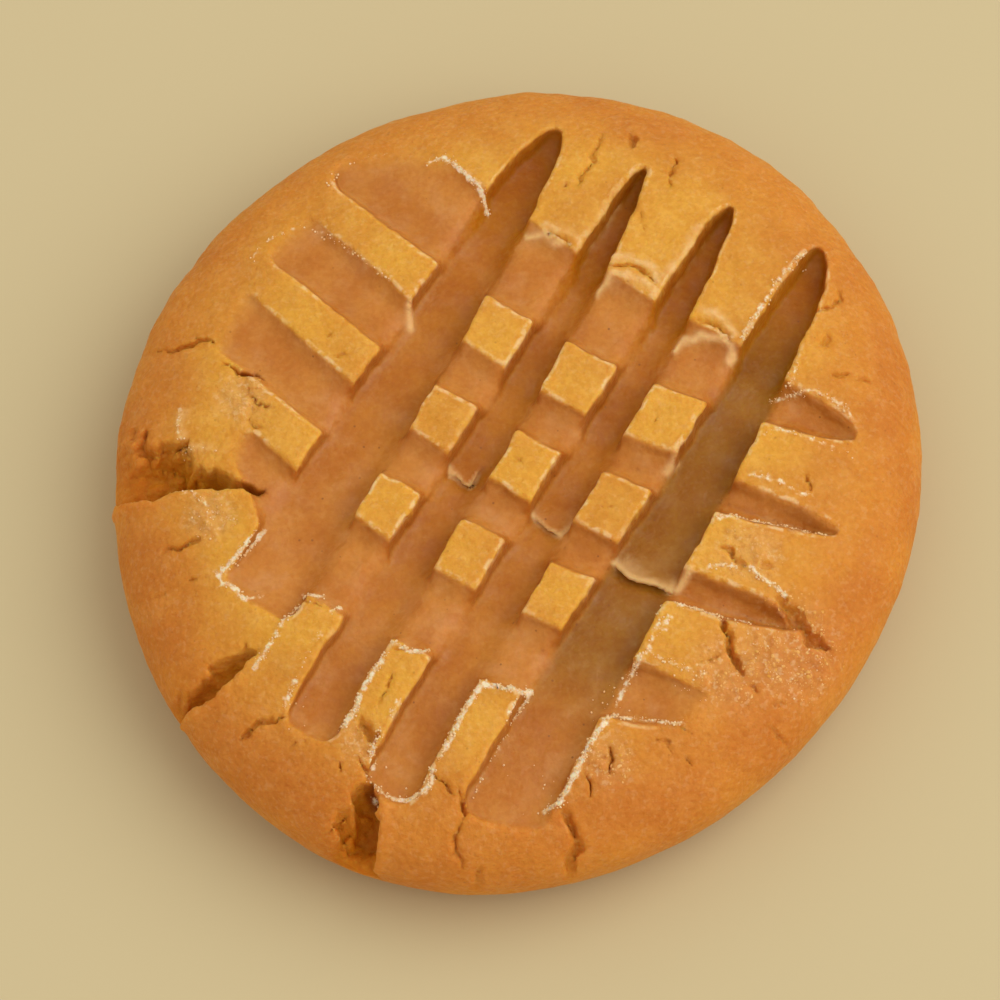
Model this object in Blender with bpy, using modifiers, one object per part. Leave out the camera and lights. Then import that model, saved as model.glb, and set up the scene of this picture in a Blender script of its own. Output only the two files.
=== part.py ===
"""A round peanut butter cookie, pressed crosswise with a dinner fork.

The cookie is one solid. Its body is a turned profile with an uneven outline, a crowned top, a
rounded side and a flat base. Two presses of a four-tined fork leave the crosswise grooves: the
first press is shallow and heads to the lower right, the second is deeper and heads to the upper
right. The dough is split by cracks that run in from the rim, and thin folds of dough lie in the
grooves of the second press.

Axes: +Z is up and the cookie rests on Z = 0. The origin is the middle of its footprint.
"""

import math
import random
from typing import NamedTuple

import bmesh
import bpy
from mathutils import Vector

MM = 0.001

# Body
HEIGHT = 13.0 * MM
MEAN_RADIUS = 29.35 * MM
WAIST_HEIGHT = 6.2 * MM        # the side stands furthest out here
BASE_INSET = 5.0 * MM          # from the waist in to the edge of the base
CROWN_POWER = 4.0              # flatness of the crowned top
LOBES = (                      # uneven outline: lobes, share of the radius, direction of a lobe
    (2, 0.0450, math.radians(68)),
    (3, 0.0080, math.radians(21)),
    (4, 0.0065, math.radians(-16)),
)
TURN_STEPS = 96
CROWN_ROWS = 12
UNDERSIDE_ROWS = 5

# Fork
TINES = 4
PRESS_CENTRE = Vector((0.45 * MM, -1.5 * MM))
TINE_POWER = 4.0               # squareness of a tine's section
HEEL_WIDENING = 1.25           # width of a tine at the fork's heel, as a share of its middle
TIP_NARROWING = 0.75           # the same near the tip, before the tip itself closes
TIP_CLOSING_POWER = 6          # the higher, the nearer to its end a tip starts to close
TIP_LEAST_SHARE = 0.12         # width of the very tip
END_LIFT = 0.3 * MM            # a tine's ends stop this far above the dough
CUTTER_RISE = 2.0 * MM         # a tine's section reaches this far above the dough
TINE_STATIONS = 19
TINE_SECTION_POINTS = 9


class Press(NamedTuple):
    """One press of the fork. The tines are listed from left to right, seen along the heading."""
    heading: float             # direction of the tips
    pitch: float               # from one tine to the next
    inner_reach: float         # from a tine's middle line to its edge
    outer_reach: float         # the same on the free side of an outer tine
    bow: float                 # how far both ends of a tine lie to the right of its middle
    tip_drift: float           # how far its tip lies further to the right
    half_length: float         # where the bow and the drift are measured
    depths: tuple              # below the crown: at the heel, in the middle, near the tip
    heel_run: float            # a groove rises to the crown over this length at the heel
    tip_run: float             # the same at the tip
    starts: tuple              # heel end of each tine, from the press's centre
    stops: tuple               # tip end of each tine


FIRST_PRESS = Press(
    heading=math.radians(-29.8),
    pitch=7.7 * MM,
    inner_reach=2.1 * MM,
    outer_reach=4.6 * MM,
    bow=-2.5 * MM,
    tip_drift=0.0,
    half_length=19.0 * MM,
    depths=(1.3 * MM, 1.4 * MM, 2.0 * MM),
    heel_run=4.0 * MM,
    tip_run=3.0 * MM,
    starts=(-23.8 * MM, -24.4 * MM, -24.4 * MM, -22.0 * MM),
    stops=(20.2 * MM, 21.4 * MM, 22.4 * MM, 20.6 * MM),
)
SECOND_PRESS = Press(
    heading=math.radians(60.2),
    pitch=6.8 * MM,
    inner_reach=1.85 * MM,
    outer_reach=3.5 * MM,
    bow=0.0,
    tip_drift=-0.9 * MM,
    half_length=24.0 * MM,
    depths=(1.9 * MM, 2.7 * MM, 3.4 * MM),
    heel_run=6.0 * MM,
    tip_run=2.5 * MM,
    starts=(-18.4 * MM, -24.6 * MM, -25.8 * MM, -23.8 * MM),
    stops=(24.8 * MM, 25.0 * MM, 25.4 * MM, 25.6 * MM),
)


class Crack(NamedTuple):
    """A split in the dough, from the end nearest the rim to where it closes."""
    points: tuple              # along the middle of the split, in millimetres
    width: float               # at the first point
    depth: float
    lean: float                # which side is sheer: -1 the left, 0 neither, 1 the right


CRACKS = {
    "left_gap": Crack(
        ((-31.0, 0.2), (-27.6, -0.5), (-24.2, -1.1), (-21.1, -1.9), (-16.8, -1.9)),
        3.8 * MM, 3.2 * MM, 0.8),
    "lower_left_gap": Crack(
        ((-26.6, -19.4), (-23.4, -17.9), (-21.2, -17.0), (-18.0, -15.1)),
        1.9 * MM, 2.2 * MM, 0.8),
    "lower_left_slit": Crack(((-19.2, -20.6), (-18.0, -20.0), (-16.2, -19.4)), 0.6 * MM, 0.8 * MM, 0.0),
    "bottom_gap": Crack(
        ((-12.8, -31.6), (-11.6, -28.2), (-10.6, -26.4), (-10.5, -24.4), (-10.6, -21.4), (-10.0, -20.2)),
        3.8 * MM, 3.4 * MM, 0.7),
    "bottom_slit": Crack(
        ((-3.4, -30.0), (-4.5, -28.1), (-3.8, -26.6), (-4.0, -25.3), (-5.5, -23.9)),
        0.8 * MM, 1.6 * MM, 0.0),
    "bottom_nick": Crack(((-2.6, -32.0), (-2.8, -30.2), (-2.6, -29.2)), 0.8 * MM, 1.0 * MM, 0.0),
    "bottom_right_slit": Crack(
        ((3.0, -31.4), (3.5, -29.0), (4.0, -28.2), (3.4, -27.0), (3.1, -25.4)),
        1.1 * MM, 1.8 * MM, 0.0),
    "right_split": Crack(
        ((15.5, -16.8), (14.8, -14.6), (14.7, -13.4), (13.9, -12.3)),
        0.9 * MM, 1.2 * MM, 0.0),
    "right_branch": Crack(((14.6, -14.9), (13.9, -15.3), (12.5, -16.0)), 0.5 * MM, 0.9 * MM, 0.0),
    "right_hole": Crack(
        ((22.2, -14.0), (20.7, -13.2), (19.4, -12.2), (18.0, -11.4)),
        1.5 * MM, 1.7 * MM, 0.6),
}
CRACK_JAG = 0.2 * MM           # how far the sides of a crack wander
CRACK_WIDTH_JITTER = (0.8, 1.2)
CRACK_SEED = 7
CRACK_STEPS = 3                # stations between two of a crack's points
CRACK_END_SHARE = 0.15         # width where a crack closes, as a share of its widest
CRACK_CLOSING_POWER = 0.65     # below 1, a crack narrows fastest near its wide end

# Folds: thin tongues of dough in the second press's grooves, with a free edge towards the heel
FOLDS = {                      # sideways and along from the press's centre, half width, half length
    "fold_left": (-4.2 * MM, 0.9 * MM, 1.7 * MM, 3.2 * MM),
    "fold_middle": (3.1 * MM, 0.8 * MM, 2.2 * MM, 4.0 * MM),
    "fold_right": (10.9 * MM, 1.3 * MM, 3.4 * MM, 5.0 * MM),
}
FOLD_THICKNESS = 1.0 * MM
FOLD_LIFT = 0.45 * MM          # the free edge stands this far above the groove's floor
FOLD_TILT = math.radians(7)
FOLD_SIDES = 28

DOUGH_COLOUR = (0.60, 0.215, 0.032, 1.0)
DOUGH_ROUGHNESS = 0.55
SHARP_ANGLE = math.radians(32)


def outline_radius(angle):
    """Distance from the body's axis to the waist in one direction."""
    waves = sum(share * math.cos(count * (angle - direction)) for count, share, direction in LOBES)
    return MEAN_RADIUS * (1.0 + waves)


def body_axis():
    """Where the turned body's axis stands, so that the footprint's box is centred on the origin."""
    points = []
    for step in range(TURN_STEPS):
        angle = 2.0 * math.pi * step / TURN_STEPS
        points.append(Vector((math.cos(angle), math.sin(angle))) * outline_radius(angle))
    middle_x = (min(p.x for p in points) + max(p.x for p in points)) / 2.0
    middle_y = (min(p.y for p in points) + max(p.y for p in points)) / 2.0
    return Vector((-middle_x, -middle_y))


def crown_height(place):
    """Height of the unpressed dough above a point of the footprint; the waist's height outside it."""
    arm = place - body_axis()
    share = min(1.0, arm.length / outline_radius(math.atan2(arm.y, arm.x)))
    return WAIST_HEIGHT + (HEIGHT - WAIST_HEIGHT) * math.sqrt(1.0 - share ** CROWN_POWER)


def body_profile():
    """Half section of the body, from the middle of the top down the side to the base's middle."""
    points = []
    for row in range(CROWN_ROWS + 1):
        angle = math.pi / 2.0 * row / CROWN_ROWS
        radius = MEAN_RADIUS * math.sin(angle) ** (2.0 / CROWN_POWER)
        points.append((radius, 0.0, WAIST_HEIGHT + (HEIGHT - WAIST_HEIGHT) * math.cos(angle)))
    for row in range(1, UNDERSIDE_ROWS + 1):
        angle = math.pi / 2.0 * row / UNDERSIDE_ROWS
        radius = MEAN_RADIUS - BASE_INSET * (1.0 - math.cos(angle))
        points.append((radius, 0.0, WAIST_HEIGHT * (1.0 - math.sin(angle))))
    points.append((0.0, 0.0, 0.0))
    return points


def new_collection(name):
    collection = bpy.data.collections.new(name)
    bpy.context.scene.collection.children.link(collection)
    return collection


def new_object(name, mesh, collection):
    obj = bpy.data.objects.new(name, mesh)
    collection.objects.link(obj)
    return obj


def make_body(collection):
    """Turn the profile, then give the round body its uneven outline."""
    profile = body_profile()
    mesh = bpy.data.meshes.new("cookie_profile")
    mesh.from_pydata(profile, [(i, i + 1) for i in range(len(profile) - 1)], [])
    turned = new_object("cookie_profile", mesh, collection)
    screw = turned.modifiers.new("turn", "SCREW")
    screw.steps = TURN_STEPS
    screw.render_steps = TURN_STEPS
    screw.use_merge_vertices = True
    screw.merge_threshold = 0.01 * MM

    depsgraph = bpy.context.evaluated_depsgraph_get()
    solid = bpy.data.meshes.new_from_object(turned.evaluated_get(depsgraph))
    bpy.data.objects.remove(turned)
    axis = body_axis()
    for vertex in solid.vertices:
        scale = outline_radius(math.atan2(vertex.co.y, vertex.co.x)) / MEAN_RADIUS
        vertex.co.x = vertex.co.x * scale + axis.x
        vertex.co.y = vertex.co.y * scale + axis.y
    solid.name = "cookie"
    return new_object("cookie", solid, collection)


def loft(name, rings, collection):
    """A closed cutter through rings of equal length, capped at both ends."""
    form = bmesh.new()
    loops = [[form.verts.new(point) for point in ring] for ring in rings]
    for near, far in zip(loops, loops[1:]):
        for i in range(len(near)):
            j = (i + 1) % len(near)
            form.faces.new((near[i], near[j], far[j], far[i]))
    form.faces.new(loops[0])
    form.faces.new(loops[-1])
    bmesh.ops.recalc_face_normals(form, faces=form.faces)
    mesh = bpy.data.meshes.new(name)
    form.to_mesh(mesh)
    form.free()
    return as_cutter(new_object(name, mesh, collection))


def as_cutter(obj):
    obj.hide_render = True
    obj.display_type = "WIRE"
    return obj


def press_axes(press):
    """Unit vectors along the tines and to the right of them."""
    along = Vector((math.cos(press.heading), math.sin(press.heading)))
    return along, Vector((along.y, -along.x))


def sideways_shift(press, distance):
    """How far a tine has strayed to the right of its straight line."""
    share = distance / press.half_length
    return press.bow * share ** 2 + press.tip_drift * max(0.0, share) ** 2


def end_fade(distance, run):
    """From 0 at a groove's end to 1 once it has its full depth."""
    share = max(0.0, min(1.0, distance / run))
    return math.sqrt(1.0 - (1.0 - share) ** 2)


def groove_depth(press, start, stop, distance):
    """Depth of a groove's floor below the crown, at a distance along the tine."""
    share = (distance - start) / (stop - start)
    heel, middle, tip = press.depths
    if share < 0.5:
        depth = heel + (middle - heel) * share * 2.0
    else:
        depth = middle + (tip - middle) * (share * 2.0 - 1.0)
    fade = end_fade(distance - start, press.heel_run) * end_fade(stop - distance, press.tip_run)
    return depth * fade - END_LIFT * (1.0 - fade)


def tine_width_share(share):
    """Width of a tine from its heel (0) to its tip (1), as a share of the middle's width."""
    taper = HEEL_WIDENING + (TIP_NARROWING - HEEL_WIDENING) * share
    return max(TIP_LEAST_SHARE, taper * math.sqrt(max(0.0, 1.0 - share ** TIP_CLOSING_POWER)))


def tine_section(centre, right, left_reach, right_reach, floor, top):
    """Half a superellipse: steep sides, rounded corners and a flat floor."""
    ring = []
    for i in range(TINE_SECTION_POINTS):
        angle = math.pi * i / (TINE_SECTION_POINTS - 1)
        across = math.copysign(abs(math.cos(angle)) ** (2.0 / TINE_POWER), math.cos(angle))
        down = math.sin(angle) ** (2.0 / TINE_POWER)
        place = centre + right * across * (right_reach if across > 0.0 else left_reach)
        ring.append((place.x, place.y, top - (top - floor) * down))
    return ring


def make_tine(name, press, index, collection):
    along, right = press_axes(press)
    start = press.starts[index]
    stop = press.stops[index]
    offset = (index - (TINES - 1) / 2.0) * press.pitch
    left_reach = press.outer_reach if index == 0 else press.inner_reach
    right_reach = press.outer_reach if index == TINES - 1 else press.inner_reach
    rings = []
    for station in range(TINE_STATIONS):
        share = (1.0 - math.cos(math.pi * station / (TINE_STATIONS - 1))) / 2.0
        distance = start + (stop - start) * share
        centre = PRESS_CENTRE + along * distance + right * (offset + sideways_shift(press, distance))
        crown = crown_height(centre)
        floor = crown - groove_depth(press, start, stop, distance)
        width = tine_width_share(share)
        rings.append(tine_section(
            centre, right, left_reach * width, right_reach * width, floor, crown + CUTTER_RISE))
    return loft(name, rings, collection)


def crack_stations(crack, rng):
    """Places along a crack's middle line with the share of its length, jagged by a small jump."""
    points = [Vector(point) * MM for point in crack.points]
    places = []
    for near, far in zip(points, points[1:]):
        for step in range(CRACK_STEPS):
            places.append(near.lerp(far, step / CRACK_STEPS))
    places.append(points[-1])
    return [
        (place + Vector((rng.uniform(-1, 1), rng.uniform(-1, 1))) * CRACK_JAG, i / (len(places) - 1))
        for i, place in enumerate(places)
    ]


def make_crack(name, crack, rng, collection):
    """A wedge with its edge down that follows the dough's surface."""
    stations = crack_stations(crack, rng)
    general = (stations[-1][0] - stations[0][0]).normalized()
    side = Vector((-general.y, general.x))     # to the left, seen from the rim
    rings = []
    for place, share in stations:
        closing = 1.0 - (1.0 - CRACK_END_SHARE) * share ** CRACK_CLOSING_POWER
        half = crack.width / 2.0 * closing * rng.uniform(*CRACK_WIDTH_JITTER)
        surface = crown_height(place)
        left = place + side * half
        right = place - side * half
        bottom = place - side * half * crack.lean
        rings.append([
            (left.x, left.y, surface + CUTTER_RISE),
            (left.x, left.y, surface),
            (bottom.x, bottom.y, surface - crack.depth * closing),
            (right.x, right.y, surface),
            (right.x, right.y, surface + CUTTER_RISE),
        ])
    return loft(name, rings, collection)


def make_fold(name, size, collection):
    """A thin tongue lying in a groove: tilted, so that only its edge towards the heel stands free."""
    sideways, distance, half_width, half_length = size
    along, right = press_axes(SECOND_PRESS)
    centre = PRESS_CENTRE + right * sideways + along * distance
    edge = centre - along * half_length
    floor = crown_height(edge) - SECOND_PRESS.depths[1]
    rise = math.sin(FOLD_TILT) * half_length
    middle_height = floor + FOLD_LIFT - rise - FOLD_THICKNESS / 2.0

    form = bmesh.new()
    bmesh.ops.create_cone(form, cap_ends=True, segments=FOLD_SIDES, radius1=1.0, radius2=1.0,
                          depth=FOLD_THICKNESS)
    for vertex in form.verts:
        forward = vertex.co.y * half_length
        place = centre + right * vertex.co.x * half_width + along * forward
        height = middle_height + vertex.co.z - math.tan(FOLD_TILT) * forward
        vertex.co = (place.x, place.y, height)
    bmesh.ops.recalc_face_normals(form, faces=form.faces)
    mesh = bpy.data.meshes.new(name)
    form.to_mesh(mesh)
    form.free()
    return as_cutter(new_object(name, mesh, collection))


def dough_material():
    material = bpy.data.materials.new("baked_dough")
    material.use_nodes = True
    shader = material.node_tree.nodes["Principled BSDF"]
    shader.inputs["Base Color"].default_value = DOUGH_COLOUR
    shader.inputs["Roughness"].default_value = DOUGH_ROUGHNESS
    shader.inputs["Metallic"].default_value = 0.0
    return material


def join_by_boolean(body, other, operation):
    modifier = body.modifiers.new(other.name, "BOOLEAN")
    modifier.operation = operation
    modifier.object = other


def main():
    for obj in list(bpy.data.objects):
        bpy.data.objects.remove(obj)
    parts = new_collection("peanut_butter_cookie")
    cutters = new_collection("cookie_cutters")
    rng = random.Random(CRACK_SEED)

    body = make_body(parts)
    tines = []
    for title, press in (("first", FIRST_PRESS), ("second", SECOND_PRESS)):
        for index in range(TINES):
            tines.append(make_tine(f"{title}_press_tine_{index + 1}", press, index, cutters))
    cracks = [make_crack(name, crack, rng, cutters) for name, crack in CRACKS.items()]
    for cutter in tines + cracks:
        join_by_boolean(body, cutter, "DIFFERENCE")
    for name, size in FOLDS.items():
        join_by_boolean(body, make_fold(name, size, cutters), "UNION")

    body.data.materials.append(dough_material())
    body.data.shade_smooth()
    body.data.set_sharp_from_angle(angle=SHARP_ANGLE)


main()
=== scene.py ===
"""Looks of a round peanut butter cookie that was pressed crosswise with a dinner fork.

The dough is one closed surface. It is worked out as a field: a number for every point that is
negative inside the dough and close to the distance in millimetres from its surface. The turned
body, the fork's grooves, the cracks and the folds of dough each give one field, and soft minima
and maxima join them. The surface is drawn from the field on a fine grid, thinned, laid back on
the field and roughened with grain and crumbs. Shapes are in millimetres, objects in metres.
"""

import math
from typing import NamedTuple

import bmesh
import bpy
import numpy as np
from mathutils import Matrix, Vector


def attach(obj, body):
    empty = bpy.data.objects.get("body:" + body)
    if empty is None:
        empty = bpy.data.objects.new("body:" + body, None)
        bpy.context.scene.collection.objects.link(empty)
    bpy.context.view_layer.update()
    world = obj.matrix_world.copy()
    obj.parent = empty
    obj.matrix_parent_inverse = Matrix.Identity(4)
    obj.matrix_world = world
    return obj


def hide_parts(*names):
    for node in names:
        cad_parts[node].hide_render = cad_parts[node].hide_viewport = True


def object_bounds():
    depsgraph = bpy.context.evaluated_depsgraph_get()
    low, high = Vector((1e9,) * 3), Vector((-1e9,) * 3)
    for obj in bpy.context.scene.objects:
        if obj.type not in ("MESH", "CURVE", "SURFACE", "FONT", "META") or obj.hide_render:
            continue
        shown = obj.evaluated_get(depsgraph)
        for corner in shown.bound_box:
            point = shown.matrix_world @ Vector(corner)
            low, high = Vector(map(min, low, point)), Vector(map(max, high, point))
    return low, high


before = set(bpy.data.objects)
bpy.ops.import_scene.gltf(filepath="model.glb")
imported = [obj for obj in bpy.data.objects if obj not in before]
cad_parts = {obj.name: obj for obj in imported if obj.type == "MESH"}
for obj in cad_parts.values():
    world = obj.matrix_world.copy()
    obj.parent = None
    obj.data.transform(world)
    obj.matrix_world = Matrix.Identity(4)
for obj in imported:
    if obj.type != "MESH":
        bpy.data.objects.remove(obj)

CAD_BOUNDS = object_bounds()
MM = 0.001

# Body, as in the solid
HEIGHT = 13.0
MEAN_RADIUS = 29.35
WAIST_HEIGHT = 6.2
BASE_INSET = 5.0
CROWN_POWER = 4.0
# Waves of the outline: how many around, their share of the radius, and the direction of one
LOBES = ((2, 0.0450, math.radians(68)), (3, 0.0080, math.radians(21)), (4, 0.0065, math.radians(-16)))
LEAST_SLOPE = 0.05             # keeps the body's field finite around its middle
OUTLINE_STEPS = 96

# Fork, as in the solid
PRESS_CENTRE = (0.45, -1.5)
TINES = 4
HEEL_WIDENING = 1.25
TIP_NARROWING = 0.75
TIP_CLOSING_POWER = 10
TIP_LEAST_SHARE = 0.12
END_LIFT = 0.3


class Press(NamedTuple):
    """One press of the fork. The tines are listed from left to right, seen along the heading."""
    heading: float             # direction of the tips
    pitch: float               # from one tine to the next
    inner_reach: float         # from a tine's middle line to its edge
    outer_reach: float         # the same on the free side of an outer tine
    bow: float                 # how far both ends of a tine lie to the right of its middle
    tip_drift: float           # how far its tip lies further to the right
    half_length: float         # where the bow and the drift are measured
    depths: tuple              # below the crown: at the heel, in the middle, near the tip
    heel_run: float            # a groove rises to the crown over this length at the heel
    tip_run: float             # the same at the tip
    starts: tuple              # heel end of each tine, from the press's centre
    stops: tuple               # tip end of each tine
    left_waist: float          # how much of its left reach an inner tine keeps in its middle
    heel_shares: tuple         # how much of its right reach each tine keeps at its heel
    tip_shares: tuple          # how much of its left reach each tine keeps at its tip
    tip_powers: tuple          # 1 ends a groove steeply at its tip, more lets it fade out
    floor_tilt: float          # a groove's floor falls to the right by this share
    drafts: tuple              # slope of the left and of the right wall, as run over drop
    corners: tuple             # radius between the floor and the left wall, and the right wall
    heel_round: float          # radius of a groove's heel corners, seen from above
    edge_round: float          # how softly the dough turns over a groove's edge


FIRST_PRESS = Press(
    heading=math.radians(-29.8), pitch=7.7, inner_reach=1.95, outer_reach=4.3, bow=-2.5, tip_drift=0.0,
    half_length=19.0, depths=(0.75, 1.1, 1.7), heel_run=6.0, tip_run=3.0,
    starts=(-23.8, -24.4, -24.4, -18.6), stops=(18.8, 21.1, 22.4, 20.6), left_waist=0.84,
    heel_shares=(1.0, 1.0, 1.0, 0.1), tip_shares=(0.72, 1.0, 1.0, 1.0), tip_powers=(1.0, 1.0, 1.0, 2.6),
    floor_tilt=0.0, drafts=(0.6, 0.5), corners=(1.1, 0.9), heel_round=1.6, edge_round=0.38,
)
SECOND_PRESS = Press(
    heading=math.radians(60.2), pitch=6.8, inner_reach=1.62, outer_reach=3.1, bow=0.0, tip_drift=-0.9,
    half_length=24.0, depths=(1.6, 2.2, 2.4), heel_run=6.0, tip_run=2.5,
    starts=(-18.4, -24.6, -25.8, -23.8), stops=(24.8, 25.0, 25.4, 26.2), left_waist=1.0,
    heel_shares=(1.0, 1.0, 1.0, 1.0), tip_shares=(1.0, 1.0, 1.0, 1.0), tip_powers=(1.0, 1.0, 1.0, 1.0),
    floor_tilt=0.07, drafts=(0.06, 0.08), corners=(0.4, 0.9), heel_round=1.5, edge_round=0.26,
)
SADDLE_ROUND = 1.1             # where the second press crosses the first, its edges are this soft
SADDLE_LEAN = 0.35             # and its walls lean this much more
SADDLE_SPAN = (0.2, -1.0)      # both come in between these distances from the first press's edges
HEEL_SHARE_SPAN = (-18.0, -9.0)        # along a tine, where its heel and tip shares give way to 1
TIP_SHARE_SPAN = (12.5, 9.5)
SOFT_TIP_RUN = 8.0             # a groove that fades out does so over this length
TILT_DEPTHS = (0.3, 1.5)       # a groove's floor is level at the first depth and tilted at the second
CORNER_SHARE = 0.8             # a floor's corner is rounded by no more than this share of its depth
LEAST_CORNER = 0.05
# How far the grooves' edges wander, and over what length
WAVES = ((0.12, 2.1), (0.07, 0.9), (0.04, 0.45))
WAVES_APART = 31.0             # between the waves along x and those along y
BURR_HEIGHT = 0.10             # dough drawn up along the grooves' edges
BURR_WIDTH = 0.22
BURR_OFFSET = 0.12
BURR_DEPTHS = (0.2, 1.2)       # none at the first depth of a groove, all of it at the second
BURR_MEAN = 0.6
BURR_CHANGE = (0.6, 1.3)       # how much it changes, and over what length
BURR_LIMIT = 1.2


class Gap(NamedTuple):
    """A wide split that runs in from the rim, sheer on one side and sloping in from the other."""
    points: tuple              # the sheer side's edge, from outside the rim inward
    shares: tuple              # places along it, as shares of the way from its first to its last point
    widths: tuple              # at these places
    depths: tuple              # at these places
    undercut: float            # how far the sheer wall leans back under its edge, as run over drop
    slope: float               # shape of the sloping side: 1 straight, more has a flatter floor
    side: int                  # where the sloping side is: 1 left of the edge, -1 right


GAPS = {
    "left": Gap(
        points=((-31.0, -1.0), (-28.3, -2.2), (-26.4, -3.0), (-24.2, -2.7), (-21.1, -3.0), (-18.3, -3.1),
                (-17.4, -2.6)),
        shares=(0.0, 0.25, 0.37, 0.54, 0.60, 0.64, 0.76, 0.88, 1.0),
        widths=(5.0, 4.9, 4.6, 3.6, 2.5, 1.7, 1.25, 0.8, 0.1),
        depths=(0.8, 1.5, 2.6, 4.2, 4.3, 4.2, 3.6, 3.0, 0.6),
        undercut=0.35, slope=3.0, side=1),
    "lower_left": Gap(
        points=((-27.6, -20.6), (-24.6, -18.9), (-22.6, -18.1), (-21.1, -17.8), (-19.9, -16.9),
                (-17.9, -15.2)),
        shares=(0.0, 0.3, 0.6, 0.85, 0.96, 1.0),
        widths=(2.8, 2.2, 1.7, 1.5, 1.2, 0.1),
        depths=(1.2, 2.0, 2.6, 2.4, 1.8, 0.4),
        undercut=0.30, slope=2.6, side=1),
    "bottom": Gap(
        points=((-10.4, -33.0), (-10.2, -29.2), (-9.5, -27.9), (-9.7, -26.6), (-9.6, -25.5),
                (-10.3, -24.2)),
        shares=(0.0, 0.2, 0.5, 0.55, 0.63, 0.72, 0.79, 0.83, 0.90, 0.96, 1.0),
        widths=(4.9, 4.9, 4.7, 4.1, 3.5, 2.9, 2.5, 1.6, 1.8, 1.2, 0.1),
        depths=(1.4, 1.6, 2.4, 3.0, 4.0, 4.5, 4.6, 4.4, 3.8, 2.4, 0.5),
        undercut=0.15, slope=2.8, side=1),
}


class Slit(NamedTuple):
    """A narrow crack with two sheer sides."""
    points: tuple
    width: float
    depth: float


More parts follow.
